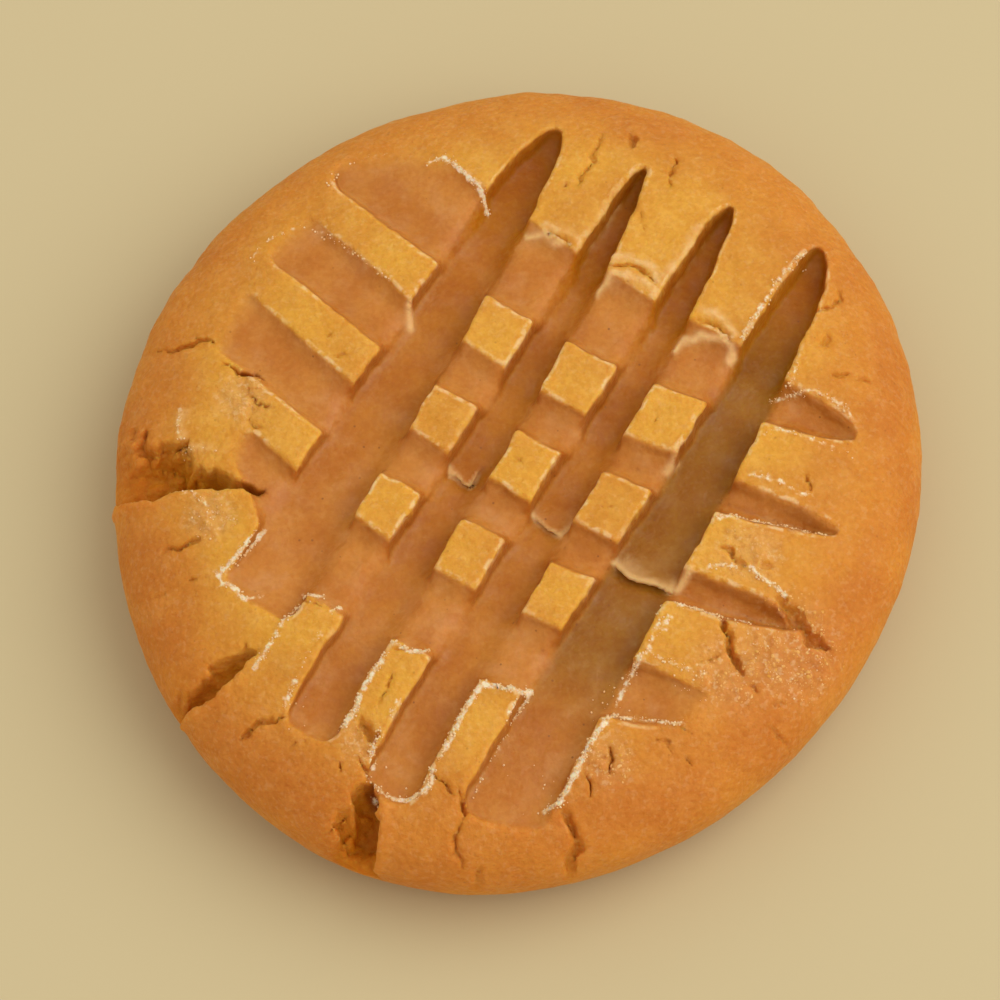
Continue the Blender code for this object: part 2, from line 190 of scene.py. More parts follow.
SLITS = (
    # Lower rim, from left to right
    Slit(((-19.3, -20.7), (-18.1, -20.1), (-17.1, -19.9), (-16.0, -19.6)), 0.7, 0.9),
    Slit(((-14.9, -21.3), (-13.9, -21.1)), 0.35, 0.5),
    Slit(((-16.0, -21.9), (-15.2, -21.5)), 0.3, 0.4),
    Slit(((-12.4, -22.8), (-12.1, -23.5)), 0.5, 0.6),
    Slit(((-10.8, -20.3), (-10.2, -21.1), (-9.6, -21.8)), 1.0, 1.3),
    Slit(((-11.1, -22.9), (-10.5, -23.7), (-10.3, -24.6)), 0.6, 0.9),
    Slit(((-5.7, -24.2), (-5.0, -25.0), (-4.6, -25.6)), 0.55, 0.8),
    Slit(((-4.0, -25.2), (-3.8, -26.3), (-4.0, -27.2)), 0.75, 1.1),
    Slit(((-4.0, -27.2), (-4.6, -27.9), (-4.4, -28.7), (-3.7, -29.8)), 0.6, 0.8),
    Slit(((-2.6, -32.0), (-2.8, -30.2), (-2.7, -29.4)), 0.7, 1.2),
    Slit(((3.0, -31.4), (3.5, -29.0), (4.0, -28.2), (3.4, -27.0), (3.1, -25.6)), 1.05, 1.4),
    Slit(((6.1, -21.8), (6.5, -23.0), (6.2, -24.3)), 0.6, 0.9),
    Slit(((4.5, -24.0), (4.9, -24.9), (5.2, -25.6)), 0.45, 0.8),
    Slit(((9.4, -21.3), (10.2, -21.6), (10.8, -22.7)), 0.35, 0.5),
    Slit(((11.2, -22.6), (11.9, -23.2)), 0.35, 0.5),
    Slit(((11.0, -20.5), (11.7, -20.8)), 0.5, 0.4),
    Slit(((9.2, -16.8), (9.4, -18.2), (9.8, -19.2), (10.4, -20.2)), 0.3, 0.5),
    # Right side, upwards
    Slit(((17.1, -20.1), (18.0, -20.4), (18.9, -20.7)), 0.4, 0.5),
    Slit(((17.5, -18.3), (18.6, -18.2)), 0.4, 0.4),
    Slit(((15.9, -17.2), (16.5, -17.6)), 0.6, 0.6),
    Slit(((14.0, -12.4), (14.1, -13.2), (14.6, -14.0), (14.7, -15.1), (15.2, -15.9), (15.6, -17.2)),
         0.95, 1.5),
    Slit(((14.3, -15.1), (13.3, -15.6), (12.4, -16.1)), 0.35, 0.6),
    Slit(((18.2, -11.1), (19.3, -12.4), (19.9, -13.3), (20.6, -13.8), (21.9, -14.1)), 1.5, 1.5),
    Slit(((14.0, -7.5), (14.8, -7.9), (15.2, -8.7), (15.8, -9.2)), 0.8, 0.9),
    Slit(((16.9, -8.9), (17.9, -8.9)), 0.7, 0.4),
    Slit(((19.7, -1.5), (20.3, -3.3)), 0.45, 0.6),
    Slit(((21.8, 5.7), (23.3, 6.1)), 0.5, 0.4),
    Slit(((23.7, 5.8), (25.1, 5.9)), 0.5, 0.4),
    Slit(((21.0, 8.4), (22.0, 9.4)), 0.8, 0.5),
    Slit(((20.8, 11.2), (22.1, 11.5), (22.8, 12.2), (22.6, 13.7)), 0.55, 0.6),
    # Above the first press, from right to left
    Slit(((12.4, 9.9), (13.9, 9.2), (15.1, 8.0)), 0.75, 0.7),
    Slit(((6.5, 14.0), (7.9, 13.8), (9.1, 13.0), (10.0, 12.0)), 0.45, 0.8),
    Slit(((2.1, 17.0), (2.9, 16.1), (3.9, 15.4)), 0.5, 0.6),
    Slit(((8.6, 18.4), (8.9, 15.9)), 0.5, 0.3),
    Slit(((11.2, 23.2), (10.8, 21.6), (10.5, 20.2)), 0.55, 0.6),
    Slit(((8.1, 25.5), (8.1, 23.8)), 0.7, 0.9),
    Slit(((5.9, 25.1), (5.2, 22.7), (4.4, 21.3), (4.2, 19.9)), 0.6, 0.6),
    Slit(((3.0, 20.3), (3.5, 20.2)), 0.6, 0.5),
    # Left side, downwards
    Slit(((-25.6, 9.2), (-24.2, 8.4), (-23.4, 8.7), (-22.4, 8.9), (-21.3, 8.4), (-20.6, 8.4)), 0.42, 0.9),
    Slit(((-20.8, 6.8), (-20.2, 6.4), (-19.5, 6.0), (-18.8, 6.1), (-18.0, 5.7), (-17.3, 5.4)), 0.62, 1.7),
    Slit(((-19.1, 4.7), (-18.9, 4.1), (-18.3, 3.4), (-17.0, 2.8)), 0.45, 0.7),
    Slit(((-18.6, 3.6), (-18.6, 2.8), (-18.5, 1.8), (-17.4, 1.4)), 0.35, 0.55),
    Slit(((-13.1, 9.0), (-13.8, 8.4)), 0.35, 0.4),
    Slit(((-13.2, 7.1), (-11.9, 7.1)), 0.6, 0.4),
    Slit(((-14.7, 2.9), (-13.9, 3.0), (-12.7, 2.5)), 0.2, 0.3),
    Slit(((-24.6, -7.1), (-23.6, -7.0), (-21.8, -6.5)), 0.6, 0.8),
    Slit(((-25.7, -10.4), (-23.6, -9.6), (-21.0, -9.4)), 0.25, 0.45),
    # Raised squares and ridges
    Slit(((-14.7, -11.6), (-13.7, -12.0), (-12.8, -12.6)), 0.3, 0.4),
    Slit(((-8.4, -15.0), (-7.5, -15.3), (-6.4, -15.6)), 0.3, 0.4),
    Slit(((-2.1, -17.9), (-1.0, -18.1), (0.2, -18.2)), 0.25, 0.35),
    Slit(((-8.6, -16.5), (-8.9, -17.6), (-9.4, -18.8), (-9.5, -19.7)), 0.3, 0.5),
    Slit(((-6.4, 2.3), (-5.5, 1.5)), 0.2, 0.3),
    Slit(((9.5, 3.0), (9.6, 1.9), (9.1, 1.0)), 0.3, 0.4),
    Slit(((5.5, -4.7), (6.2, -5.0), (7.0, -4.5)), 0.22, 0.3),
    Slit(((-0.4, -0.7), (0.5, -1.5)), 0.2, 0.3),
)
GAP_RAGGEDNESS = 0.30          # how much a gap's width wanders
GAP_RAGS = ((1.0, 1.1), (0.8, 0.45))    # how strongly, and over what length
GAP_RUNOUT = 0.6               # a gap's floor goes on rising by this share beyond its width
STEEPEST_GAP = 5.0
SLIT_RAGGEDNESS = 0.8
SLIT_RAG_SIZES = (0.8, 0.3)
SLIT_FINE_RAG = 0.4
SLIT_RAGS_APART = 7.0
SLIT_WIDEST = 0.45             # where a slit is widest, as a share of its length
SLIT_CLOSING_POWER = 2.5
SLIT_CLOSING = 0.6
SLIT_TAPER = 0.8               # how much a slit narrows towards its bottom
SLIT_FILLING = 0.82            # its depth, as a share of the listed one
SLIT_LEAST = 0.01
SLIT_LEAST_FILLING = 0.05
# How far the cracks' edges wander, and over what length
JAGS = ((0.26, 1.4), (0.20, 0.5), (0.07, 0.25))
JAGS_APART = 50.0              # between the jags along x and those along y
LIP_HEIGHT = 0.22              # dough raised along a gap's sheer edge
LIP_WIDTH = 0.5
LIP_OFFSET = 0.35
LIP_DEPTHS = (0.2, 1.0)        # none at the first depth of a gap, all of it at the second

# Thin tongues of dough lying in the second press's grooves: their free edges towards the heel
# from left to right, as distances to the right of the press's centre and along its tines
FOLDS = (
    ((-5.8, -1.4), (-5.2, -2.1), (-4.4, -2.5), (-3.4, -2.8), (-2.9, -2.8)),
    ((0.9, -1.6), (1.6, -2.3), (2.6, -2.7), (3.6, -2.9), (4.6, -2.9)),
    ((7.9, -2.5), (8.8, -3.0), (9.8, -3.3), (11.1, -3.1), (12.1, -2.9), (13.2, -2.8)),
)
FOLD_LENGTH = 6.0
FOLD_BACK = (0.4, 1.6)         # the free edge's looks end this far ahead of it
FOLD_THICKNESS = 1.0
FOLD_LIP_THICKNESS = 0.32      # at its free edge
FOLD_LIP_RUN = 1.5
FOLD_LIP_WIDTHS = (0.32, 0.36, 0.85)   # of each fold's light edge, partly a painted highlight, which begins and ends here
FOLD_LIP_FRONT = -0.05
FOLD_LIP_END = (0.3, 0.1)
FOLD_LIFTS = (0.30, 0.32, 0.55)        # height of each fold's edge above the groove's floor
FOLD_TILT = math.tan(math.radians(7))
FOLD_WAVER = 0.16              # how much its edge wanders
FOLD_RAGS = ((1.0, 0.9), (0.7, 0.4))
FOLD_TRENCH = 0.2              # the floor in front of a fold lies this much lower
FOLD_TRENCH_RUN = 0.9
FOLD_TRENCH_EDGE = (-0.8, -0.2)
FOLD_ROUND = 0.12

# How softly the folds, the gaps and the slits meet the rest of the dough
FOLD_BLEND = 0.15
GAP_BLEND = 0.15
SLIT_BLEND = 0.08

# Relief: how far the surface stands out, and over what length
UNPRESSED_LUMPS = ((0.07, 1.7), (0.035, 0.8))
COARSE_LUMPS = (0.42, 1.3)     # where the dough crumbles
FINE_LUMPS = (0.17, 0.55)
LUMPS_SINK = 0.15
LUMPS_APART = 9.0
SLOW_WAVES = ((0.10, 7.0), (0.05, 2.6))
PRESSED_CALM = 0.6             # the fork has smoothed away this share of them
FINE_GRAIN = ((0.020, 0.7), (0.014, 0.38))
CRACK_LUMPS = (0.16, 1.1)
CRACK_CRUMBS = (0.06, 0.5)
CRUST_HEIGHT = (0.18, 0.34)
CRUST_SHARE = 0.5
STILL_BASE = (0.0, 1.5)        # the relief begins between these heights

# Colours, as linear red, green and blue, with an alpha of 1
RAW_YELLOW = (0.78, 0.395, 0.050, 1.0)
RAW_ORANGE = (0.71, 0.325, 0.042, 1.0)
RAW_MELLOW = (0.84, 0.47, 0.10, 1.0)
CRUMBLY_PINK = (0.80, 0.43, 0.13, 1.0)
FLOOR_SHALLOW = (0.62, 0.25, 0.044, 1.0)
# the floors' colour deep down: partly the denser pressed dough, partly painted shade in the grooves'
# depths
FLOOR_DEEP_SHADED = (0.50, 0.175, 0.007, 1.0)
# painted sheen: pinkish patches on the shallower floors
FLOOR_SHEEN_PINK = (0.66, 0.31, 0.10, 1.0)
SPECK_BROWN = (0.26, 0.085, 0.018, 1.0)
# light lips on the folds, tails and ridges: partly painted highlight, partly pale dough
LIP_HIGHLIGHT_CREAM = (0.82, 0.50, 0.20, 1.0)
RIM_CREAM = (0.90, 0.66, 0.36, 1.0)
GRAIN_CREAM = (0.86, 0.54, 0.23, 1.0)
# white of the dried dough's grains, partly a painted highlight
CRUST_WHITE_GLINT = (0.93, 0.80, 0.57, 1.0)
# Tints, which another colour is multiplied by
FLANK_TINT = (0.86, 0.62, 0.62, 1.0)
# painted shade on the grooves' steep walls
WALL_SHADE_TINT = (0.76, 0.65, 0.50, 1.0)
STAIN_TINT = (0.90, 0.80, 0.66, 1.0)
# painted shade on the last groove's floor
LAST_GROOVE_SHADE_TINT = (0.70, 0.78, 0.70, 1.0)
GRAIN_TINT = (0.90, 0.82, 0.70, 1.0)
# painted shade in small pits
PIT_SHADE_TINT = (0.72, 0.56, 0.38, 1.0)
CRACK_TINT = (0.93, 0.82, 0.42, 1.0)
CRACK_DEEP = (0.90, 0.80, 0.18, 1.0)

# Where the colours lie on the dough, in millimetres if not said otherwise
FLANK_SHARES = (0.72, 0.95)    # from the lands' colour to the sides', as shares of the waist's radius
SIDE_TURN = math.radians(-35)  # in this direction the sides' colour starts further in
SIDE_REACH = 0.16              # by this share
PRESSED_EDGE = (0.04, -0.16)   # from unpressed to pressed dough, across a groove's edge
PRESSED_DEPTHS = (0.05, 0.45)
WALL_EDGE = (0.20, 0.08)       # the same on a groove's wall
WALL_DEPTHS = (0.15, 0.5)
WALL_SLOPES = (0.75, 0.40)     # how far upward a floor and a wall face; the steep walls get painted shade
UPWARD_SLOPES = (0.0, 0.4)     # the white grains and the light edges, partly painted highlight, lie on faces that look upward
CRACK_EDGE = (-0.25, -0.03)
CRACK_DEPTHS = (0.2, 1.8)      # cracks darken with their depth
CRACK_LEAST = 0.3
TIP_SHADE_SPAN = (9.0, 16.0)     # the second press's grooves get the deep floors' darker colour beyond this stretch, as painted shade
TIP_SHADE_RIM = 0.7              # and their light rims are weaker by this share
LAST_GROOVE_SHADE_HEEL = (-17.0, -9.0)     # the last tine's floor gets painted shade, darkest between these stretches
LAST_GROOVE_SHADE_TIP = (24.0, 15.0)
LAST_GROOVE_SHADE_EDGE = (0.1, -0.5)
RIM_OFFSET = 0.12              # the light rims, partly painted highlight and partly pale dough of the edges, lie this far outside the grooves' edges
RIM_HALF = 0.26
RIM_MIDDLE = 0.04
RIM_DEPTHS = (0.9, 0.3)        # below the crown, from no rim to a full one
RIM_HIGHLIGHT_DEPTHS = (0.1, 0.5)     # the same for the depth of the groove itself
FARTHEST_EDGE = 3.0
FOLDED_SPAN = (0.3, 0.0)
FOLD_LIP_SHARE = 0.8
LIGHT_SHARE = 1.15             # of the ridges and the tails
LIGHT_LIMIT = 0.95


class Pattern(NamedTuple):
    """A noise, of which the values from `low` to `high` are spread out from `least` to `most`."""
    size: float                # over which it changes
    detail: float
    seed: float
    low: float
    high: float
    least: float = 0.0
    most: float = 1.0


PATCHES = Pattern(6.0, 1.0, 1.0, 0.35, 0.65)
MELLOW_PATCHES = Pattern(1.7, 1.0, 13.0, 0.46, 0.68, most=0.28)
STAINS = Pattern(3.0, 2.0, 2.0, 0.38, 0.67)
# pinkish patches of painted sheen on the floors
SHEEN_PINK_PATCHES = Pattern(1.8, 2.0, 21.0, 0.50, 0.69, most=0.4)
FINE_SPOTS = Pattern(0.4, 2.0, 3.0, 0.35, 0.65)
GLINT_SPOTS = Pattern(0.40, 2.0, 11.0, 0.52, 0.69)
PIT_SHADE_SPOTS = Pattern(0.65, 2.0, 12.0, 0.56, 0.74)
RIM_BREAKS = Pattern(0.6, 2.0, 4.0, 0.40, 0.62)
RIM_PATCHES = Pattern(4.0, 1.0, 8.0, 0.40, 0.60)
GLOSS_PATCHES = Pattern(1.2, 1.0, 6.0, 0.3, 0.7, least=-0.08, most=0.08)
SHEEN_PATCHES = Pattern(2.2, 1.0, 22.0, 0.45, 0.68, most=0.14)
CRUMB_PATCHES = Pattern(1.2, 3.0, 1.0, 0.35, 0.65)
CRUMB_FINE_SPOTS = Pattern(0.35, 3.0, 3.0, 0.35, 0.65)
CRUMB_LIGHT_SPOTS = Pattern(0.3, 2.0, 11.0, 0.50, 0.70)
GRAIN_PATCHES = Pattern(0.5, 2.0, 9.0, 0.35, 0.65)
# Noises used as they are: size, detail and seed
SHADE_NOISE = (1.5, 1.0, 10.0)
CRUST_NOISE = (0.5, 3.0, 5.0)
BUMP_NOISE = (0.4, 3.0, 7.0)
NOISE_SHIFT = 0.1              # in metres, from one seed to the next

# How strongly each look shows, and between which values of its attribute or noise
CRUMBLY_SHARE = 0.5
FLANK_SHARE = 0.9
FLOOR_SHADE_DEPTHS = (1.3, 2.7)        # below the crown; deeper floors are painted darker, partly the denser pressed dough and partly shade
FINE_SHARE = 0.6
SPECK_SPACING = 0.8
SPECK_RADII = (0.14, 0.07)
SPECK_CHOICE = (0.68, 0.74)
SPECK_SHARES = (0.25, 0.5)     # on all dough, and more on pressed dough
GLINT_AND_PIT_SHARES = (0.20, 0.6)     # painted glints and painted shade of small pits on all dough, and more where it crumbles
GLINT_AND_PIT_PRESSED = 0.35           # less of them on pressed dough
GLINT_SPOT_SHARE = 0.40
PIT_SHADE_SHARE = 0.65
DEEP_CRACK = (0.8, 3.0)
RIM_SHARE = 0.55
CRUST_MIDDLE = 0.5
CRUST_BREAKS = 1.4
CRUST_SPAN = (0.32, 0.80)
CRUST_END = (0.03, 0.2)
CRUST_WHITENESS = (0.3, 0.9)
CRUST_COVER = 0.9
RAW_ROUGHNESS = (0.62, 0.62, 0.62, 1.0)
PRESSED_ROUGHNESS = (0.44, 0.44, 0.44, 1.0)
DOUGH_SPECULAR = 0.16
BUMP_PRESSED = 0.5
BUMP_STRENGTH = 0.9
BUMP_HEIGHT = 0.22
SUBSURFACE = 0.55
SUBSURFACE_REACH = (1.0, 0.45, 0.18)
SUBSURFACE_SCALE = 1.3
CRUMB_FINE_SHARE = 0.8
CRUMB_LIGHT_SHARE = 0.3
CRUMB_ROUGHNESS = 0.6
GRAIN_ROUGHNESS = 0.4

# Light tails below a ridge's and a square's corner, and a light flake beside the last fold, their
# light partly a painted highlight: how strong, and the line
TAIL_HEIGHT = 0.18
TAIL_REACH = 0.25
TAILS = (
    (1.0, ((-7.7, 11.0), (-7.7, 10.4), (-7.65, 9.8))),
    (0.7, ((11.0, -0.6), (10.7, -1.0), (10.3, -1.5))),
    (1.0, ((11.0, -10.4), (11.4, -9.9), (11.8, -9.4))),
)
# White grains of dried dough along some edges, their whiteness partly a painted highlight: how thick they
# lie, and the edge
CRUST_GLINT_REACH = 0.25
CRUST_GLINT_STRENGTH = 0.85
CRUST_GLINT_LINES = (
    (1.0, ((-17.8, -5.9), (-19.9, -8.5), (-20.9, -9.2), (-20.7, -9.8), (-19.6, -10.3), (-19.1, -11.1))),
    (0.7, ((-19.1, -11.1), (-17.8, -10.9))),
    (0.8, ((-14.9, -10.7), (-14.3, -11.2), (-13.6, -11.1))),
    (0.8, ((-12.9, -12.5), (-12.4, -12.1))),
    (0.8, ((-15.3, -11.7), (-16.5, -13.5), (-17.5, -15.2), (-18.4, -16.5))),
    (0.6, ((-13.6, -13.8), (-14.2, -14.9), (-15.1, -16.2))),
    (0.7, ((-15.3, -17.1), (-15.8, -18.1), (-16.2, -19.0))),
    (0.9, ((-8.7, -14.9), (-8.2, -15.1), (-7.4, -15.6), (-6.4, -15.4))),
    (0.9, ((-9.2, -15.8), (-10.4, -17.7), (-10.9, -18.7))),
    (1.0, ((-10.9, -18.7), (-11.3, -19.7), (-12.1, -20.6))),
    (0.6, ((-8.4, -19.1), (-8.9, -20.0))),
    (0.9, ((-9.6, -21.1), (-10.0, -22.2), (-10.1, -23.2))),
    (0.7, ((-10.4, -24.0), (-9.8, -24.7), (-8.8, -25.4))),
    (0.9, ((-8.8, -25.4), (-7.8, -25.7), (-6.8, -25.4), (-6.1, -24.8), (-5.9, -23.8))),
    (0.9, ((-2.5, -17.9), (-3.6, -19.6), (-4.5, -21.4), (-5.4, -23.0))),
    (1.0, ((-2.2, -18.0), (-0.1, -18.4), (0.8, -17.9))),
    (0.8, ((0.4, -18.4), (-0.6, -19.9))),
    (0.4, ((-0.6, -19.9), (-1.3, -21.5), (-2.7, -24.2), (-3.2, -25.5))),
    (1.0, ((1.8, -26.3), (2.8, -25.9), (3.8, -24.1), (4.4, -22.9), (5.6, -20.9), (6.6, -19.7))),
    (0.7, ((6.8, -18.8), (7.3, -17.4), (8.2, -16.1))),
    (0.6, ((8.7, -15.7), (9.6, -13.5), (9.8, -12.2))),
    (0.7, ((8.3, -15.9), (9.0, -15.6), (10.1, -16.0), (11.4, -16.5), (12.6, -16.9))),
    (0.8, ((9.9, -13.9), (10.4, -12.9))),
    (0.8, ((10.8, -12.0), (11.8, -12.0), (12.9, -12.3), (13.9, -12.6))),
    (0.6, ((14.4, -12.5), (16.0, -12.8))),
    (0.7, ((6.8, -20.0), (8.0, -19.9), (9.7, -20.2), (11.3, -20.4))),
    (0.7, ((13.1, -9.2), (14.1, -9.0), (15.0, -9.1))),
    (0.8, ((15.9, -9.0), (16.7, -9.8), (17.7, -10.3), (18.5, -10.9))),
    (0.7, ((13.8, -5.5), (15.7, -5.2), (17.1, -5.3), (19.5, -5.9), (21.4, -6.1))),
    (0.7, ((16.2, -2.1), (18.2, -2.5), (19.6, -3.4), (20.5, -3.4))),
    (0.6, ((17.0, 1.0), (18.2, 1.4), (19.8, 1.0), (22.2, 0.2), (23.2, -0.1))),
    (0.6, ((17.6, 4.4), (19.7, 4.5), (20.8, 4.6), (22.5, 3.8), (23.4, 2.9))),
    (0.5, ((19.5, 6.5), (19.0, 4.9))),
    (0.9, ((-6.4, 22.8), (-5.2, 23.2), (-3.9, 21.7), (-2.7, 20.4), (-2.2, 19.1))),
    (0.7, ((15.7, 8.4), (16.8, 10.4), (18.8, 14.1), (20.3, 15.9))),
    (0.5, ((-24.4, -2.6), (-22.6, -3.2), (-21.4, -4.4), (-19.9, -5.4))),
    (0.65, ((-23.7, 3.5), (-23.8, 2.2), (-23.5, 1.0))),
    (0.6, ((-23.3, 0.6), (-22.3, 0.2), (-21.3, 0.1))),
    (0.45, ((-18.8, 15.3), (-18.2, 16.4), (-16.5, 17.5), (-15.1, 17.7), (-13.1, 16.6), (-11.1, 14.8),
            (-9.1, 13.0))),
    (0.3, ((-13.6, 20.8), (-13.2, 22.3), (-11.6, 23.6), (-9.1, 23.9))),
)
# Low light ridges where the dough was drawn up, their light partly a painted highlight: how strong, and
# the ridge
RIDGE_REACH = 0.26
RIDGE_HEIGHT = 0.14
RIDGE_WAVER = (0.26, 0.7)      # how far they wander, and over what length
RIDGE_BREAKS = (0.8, 0.5)      # how much they come and go, and over what length
RIDGE_MEAN = 0.9
RIDGES_APART = 11.0
RIDGES = (
    (1.0, ((0.8, 16.7), (1.9, 16.6), (2.7, 15.8))),
    (0.7, ((1.9, 17.1), (3.4, 16.7), (4.3, 15.9))),
    (1.0, ((5.7, 12.2), (6.4, 13.3), (7.9, 13.1), (9.3, 12.4), (9.7, 11.8))),
    (0.9, ((6.5, 14.4), (7.9, 14.6), (9.1, 14.0), (10.1, 12.8))),
    (1.0, ((11.0, 7.8), (11.8, 8.7), (13.1, 8.7), (14.3, 8.4), (15.0, 7.8), (14.8, 7.1))),
    (0.8, ((12.8, 10.6), (14.0, 10.2), (15.2, 8.8))),
    (0.5, ((4.3, 15.9), (5.6, 17.4), (7.0, 20.1))),
    (0.7, ((10.1, 12.6), (11.8, 15.3), (12.8, 17.2))),
    (0.5, ((-23.6, 3.4), (-23.7, 2.2), (-23.5, 1.1))),
    (0.5, ((-22.8, 0.5), (-21.5, 0.1))),
)
# Where the dough crumbles and where loose grains lie: x, y and radius
CRUMBLY_PLACES = (
    (18.5, -14.5, 5.0), (16.0, -8.0, 3.0), (14.5, -16.5, 3.5), (6.0, -23.0, 2.5), (-10.6, -21.8, 2.2),
    (-21.5, -5.0, 2.5), (-19.5, 4.0, 2.5),
)
CRUMBLY_CORE = 0.4             # it crumbles most within this share of the radius
SPRINKLED_PLACES = (
    (-7.6, -23.6, 2.1), (0.2, -24.6, 2.3), (-15.2, -19.4, 1.6), (18.4, -15.0, 3.0), (-21.0, -5.0, 2.0),
    (11.8, -17.8, 1.4), (6.0, -18.0, 2.0),
)
SPRINKLED_SLOPE = 0.6
SPRINKLED_ODDS = 0.015
GRAINS = 2800
GRAIN_SIZES = (0.05, 0.20)
GRAIN_SIZE_POWER = 2           # more makes more small ones
GRAIN_STRETCH = (0.65, 1.3)    # how far a grain's points move in and out
GRAIN_LIFT = 0.12
SCATTER = 0.09                 # how far a grain or a crumb lies from its point of the surface
CRUMBS = 1300
CRUMB_SIZES = (0.10, 0.36)
CRUMB_SIZE_POWER = 3
CRUMB_STRETCH = (0.6, 1.25)
CRUMB_BUMPS = (0.28, 0.45)     # how high, and how wide on a ball of diameter 1
CRUMBS_APART = 5.0
CRUMB_FLATNESS = 0.5
CRUMB_SINK = 0.20

# Surface
GRID_STEP = 0.22
GRID_MARGIN = 0.7
TARGET_TRIANGLES = 195000
SEED = 11
LAYING_ROUNDS = 2
LAYING_STEP = 0.03             # over which the field's slope is taken
LAYING_LIMIT = 0.5 * GRID_STEP # the farthest that a point moves in one round
LEAST_SLOPE_SQUARED = 0.09
NEARLY_NOTHING = 1e-9

# View and light, in metres
LENS = 260.8                   # millimetres
SENSOR = 36.0
CAMERA_PLACE = (-0.0013, -0.20885, 0.47247)
CAMERA_TARGET = (-0.0013, -0.00206, 0.008)
KEY_PLACE = (0.46, 0.0, 0.59)
KEY_SIZE = 0.9
KEY_POWER = 3.0
SKY_COLOUR = (1.0, 0.97, 0.92, 1.0)
SKY_STRENGTH = 0.76
FLOOR_HALF = 0.6
FLOOR_COLOUR = (0.60, 0.49, 0.27, 1.0)
FLOOR_ROUGHNESS = 0.8


def smooth_max(a, b, width):
    """The greater of two fields, rounded where they meet."""
    near = np.maximum(width - np.abs(a - b), 0.0)
    return np.maximum(a, b) + near * near * (0.25 / width)


def smooth_min(a, b, width):
    return -smooth_max(-a, -b, width)


def ramp(low, high, value):
    """From 0 at low to 1 at high, with soft ends."""
    share = np.clip((value - low) / (high - low), 0.0, 1.0)
    return share * share * (3.0 - 2.0 * share)


LATTICE_SIDE = 32
LATTICE_SHIFT = 17.3           # so that two sizes don't line up
LATTICE_TURN = 0.37
LATTICE_LEAN = 0.21
LATTICE = np.random.RandomState(SEED).uniform(-1.0, 1.0, (LATTICE_SIDE,) * 3).astype(np.float32)


def waver(size, x, y, z=0.0):
    """Smooth random values from about -1 to 1 that change over `size` millimetres."""
    shift = size * LATTICE_SHIFT
    turned_x = x + LATTICE_TURN * y + shift
    turned_y = y - LATTICE_TURN * x + 2.0 * shift
    cells = []
    parts = []
    for value in np.broadcast_arrays(turned_x, turned_y, z + LATTICE_LEAN * x):
        scaled = value / size
        cell = np.floor(scaled)
        part = (scaled - cell).astype(np.float32)
        cells.append(cell.astype(np.int32))
        parts.append(part * part * (3.0 - 2.0 * part))
    total = 0.0
    for corner in range(8):
        weight = 1.0
        place = []
        for axis in range(3):
            step = (corner >> axis) & 1
            weight = weight * (parts[axis] if step else 1.0 - parts[axis])
            place.append((cells[axis] + step) % LATTICE_SIDE)
        total = total + weight * LATTICE[place[0], place[1], place[2]]
    return total


def wavers(layers, x, y, z=0.0):
    """Wavers on top of each other. A layer has a height and the length over which it changes."""
    return sum(height * waver(size, x, y, z) for height, size in layers)


def wandered(layers, apart, x, y):
    """How far a place is moved along x and along y."""
    return wavers(layers, x, y), wavers(layers, x + apart, y)


# Body

def outline_radius(angle):
    """Distance from the body's axis to the waist in one direction."""
    waves = sum(share * np.cos(count * (angle - direction)) for count, share, direction in LOBES)
    return MEAN_RADIUS * (1.0 + waves)


def body_axis():
    """Where the turned body's axis stands, so that the footprint's box is centred on the origin."""
    angle = np.arange(OUTLINE_STEPS) * (2.0 * math.pi / OUTLINE_STEPS)
    reach = outline_radius(angle)
    x = reach * np.cos(angle)
    y = reach * np.sin(angle)
    return -(x.min() + x.max()) / 2.0, -(y.min() + y.max()) / 2.0


AXIS = body_axis()


def waist_share(x, y):
    """Distance from the axis as a share of the waist's, with the waist's own distance."""
    east = x - AXIS[0]
    north = y - AXIS[1]
    reach = outline_radius(np.arctan2(north, east))
    return np.hypot(east, north) / reach, reach


def crown_height(x, y):
    """Height of the unpressed dough above a point of the footprint; the waist's height outside it."""
    share = np.minimum(1.0, waist_share(x, y)[0])
    return WAIST_HEIGHT + (HEIGHT - WAIST_HEIGHT) * np.sqrt(1.0 - share ** CROWN_POWER)


def body_field(x, y, z, burr):
    """The turned body: a flat arch above the waist, a quarter of an ellipse below it."""
    share, reach = waist_share(x, y)
    crown = HEIGHT - WAIST_HEIGHT
    rise = (z - WAIST_HEIGHT) / crown
    slope = np.hypot(CROWN_POWER * share ** (CROWN_POWER - 1.0) / reach, 2.0 / crown * rise)
    above = (share ** CROWN_POWER + rise * rise - 1.0) / np.maximum(slope, LEAST_SLOPE) - burr
    out = np.maximum(0.0, (share - 1.0) * reach + BASE_INSET) / BASE_INSET
    drop = (WAIST_HEIGHT - z) / WAIST_HEIGHT
    slope = np.hypot(2.0 / BASE_INSET * out, 2.0 / WAIST_HEIGHT * drop)
    below = (out * out + drop * drop - 1.0) / np.maximum(slope, LEAST_SLOPE)
    return np.where(z > WAIST_HEIGHT, above, below)


# Grooves

def press_frame(press, x, y):
    """Distances along the tines and to the right of them, from the press's centre."""
    east = x - PRESS_CENTRE[0]
    north = y - PRESS_CENTRE[1]
    cosine = math.cos(press.heading)
    sine = math.sin(press.heading)
    return east * cosine + north * sine, east * sine - north * cosine


def press_place(press, along, right):
    """The place in the footprint that lies at these distances from the press's centre."""
    cosine = math.cos(press.heading)
    sine = math.sin(press.heading)
    x = PRESS_CENTRE[0] + cosine * along + sine * right
    y = PRESS_CENTRE[1] + sine * along - cosine * right
    return x, y


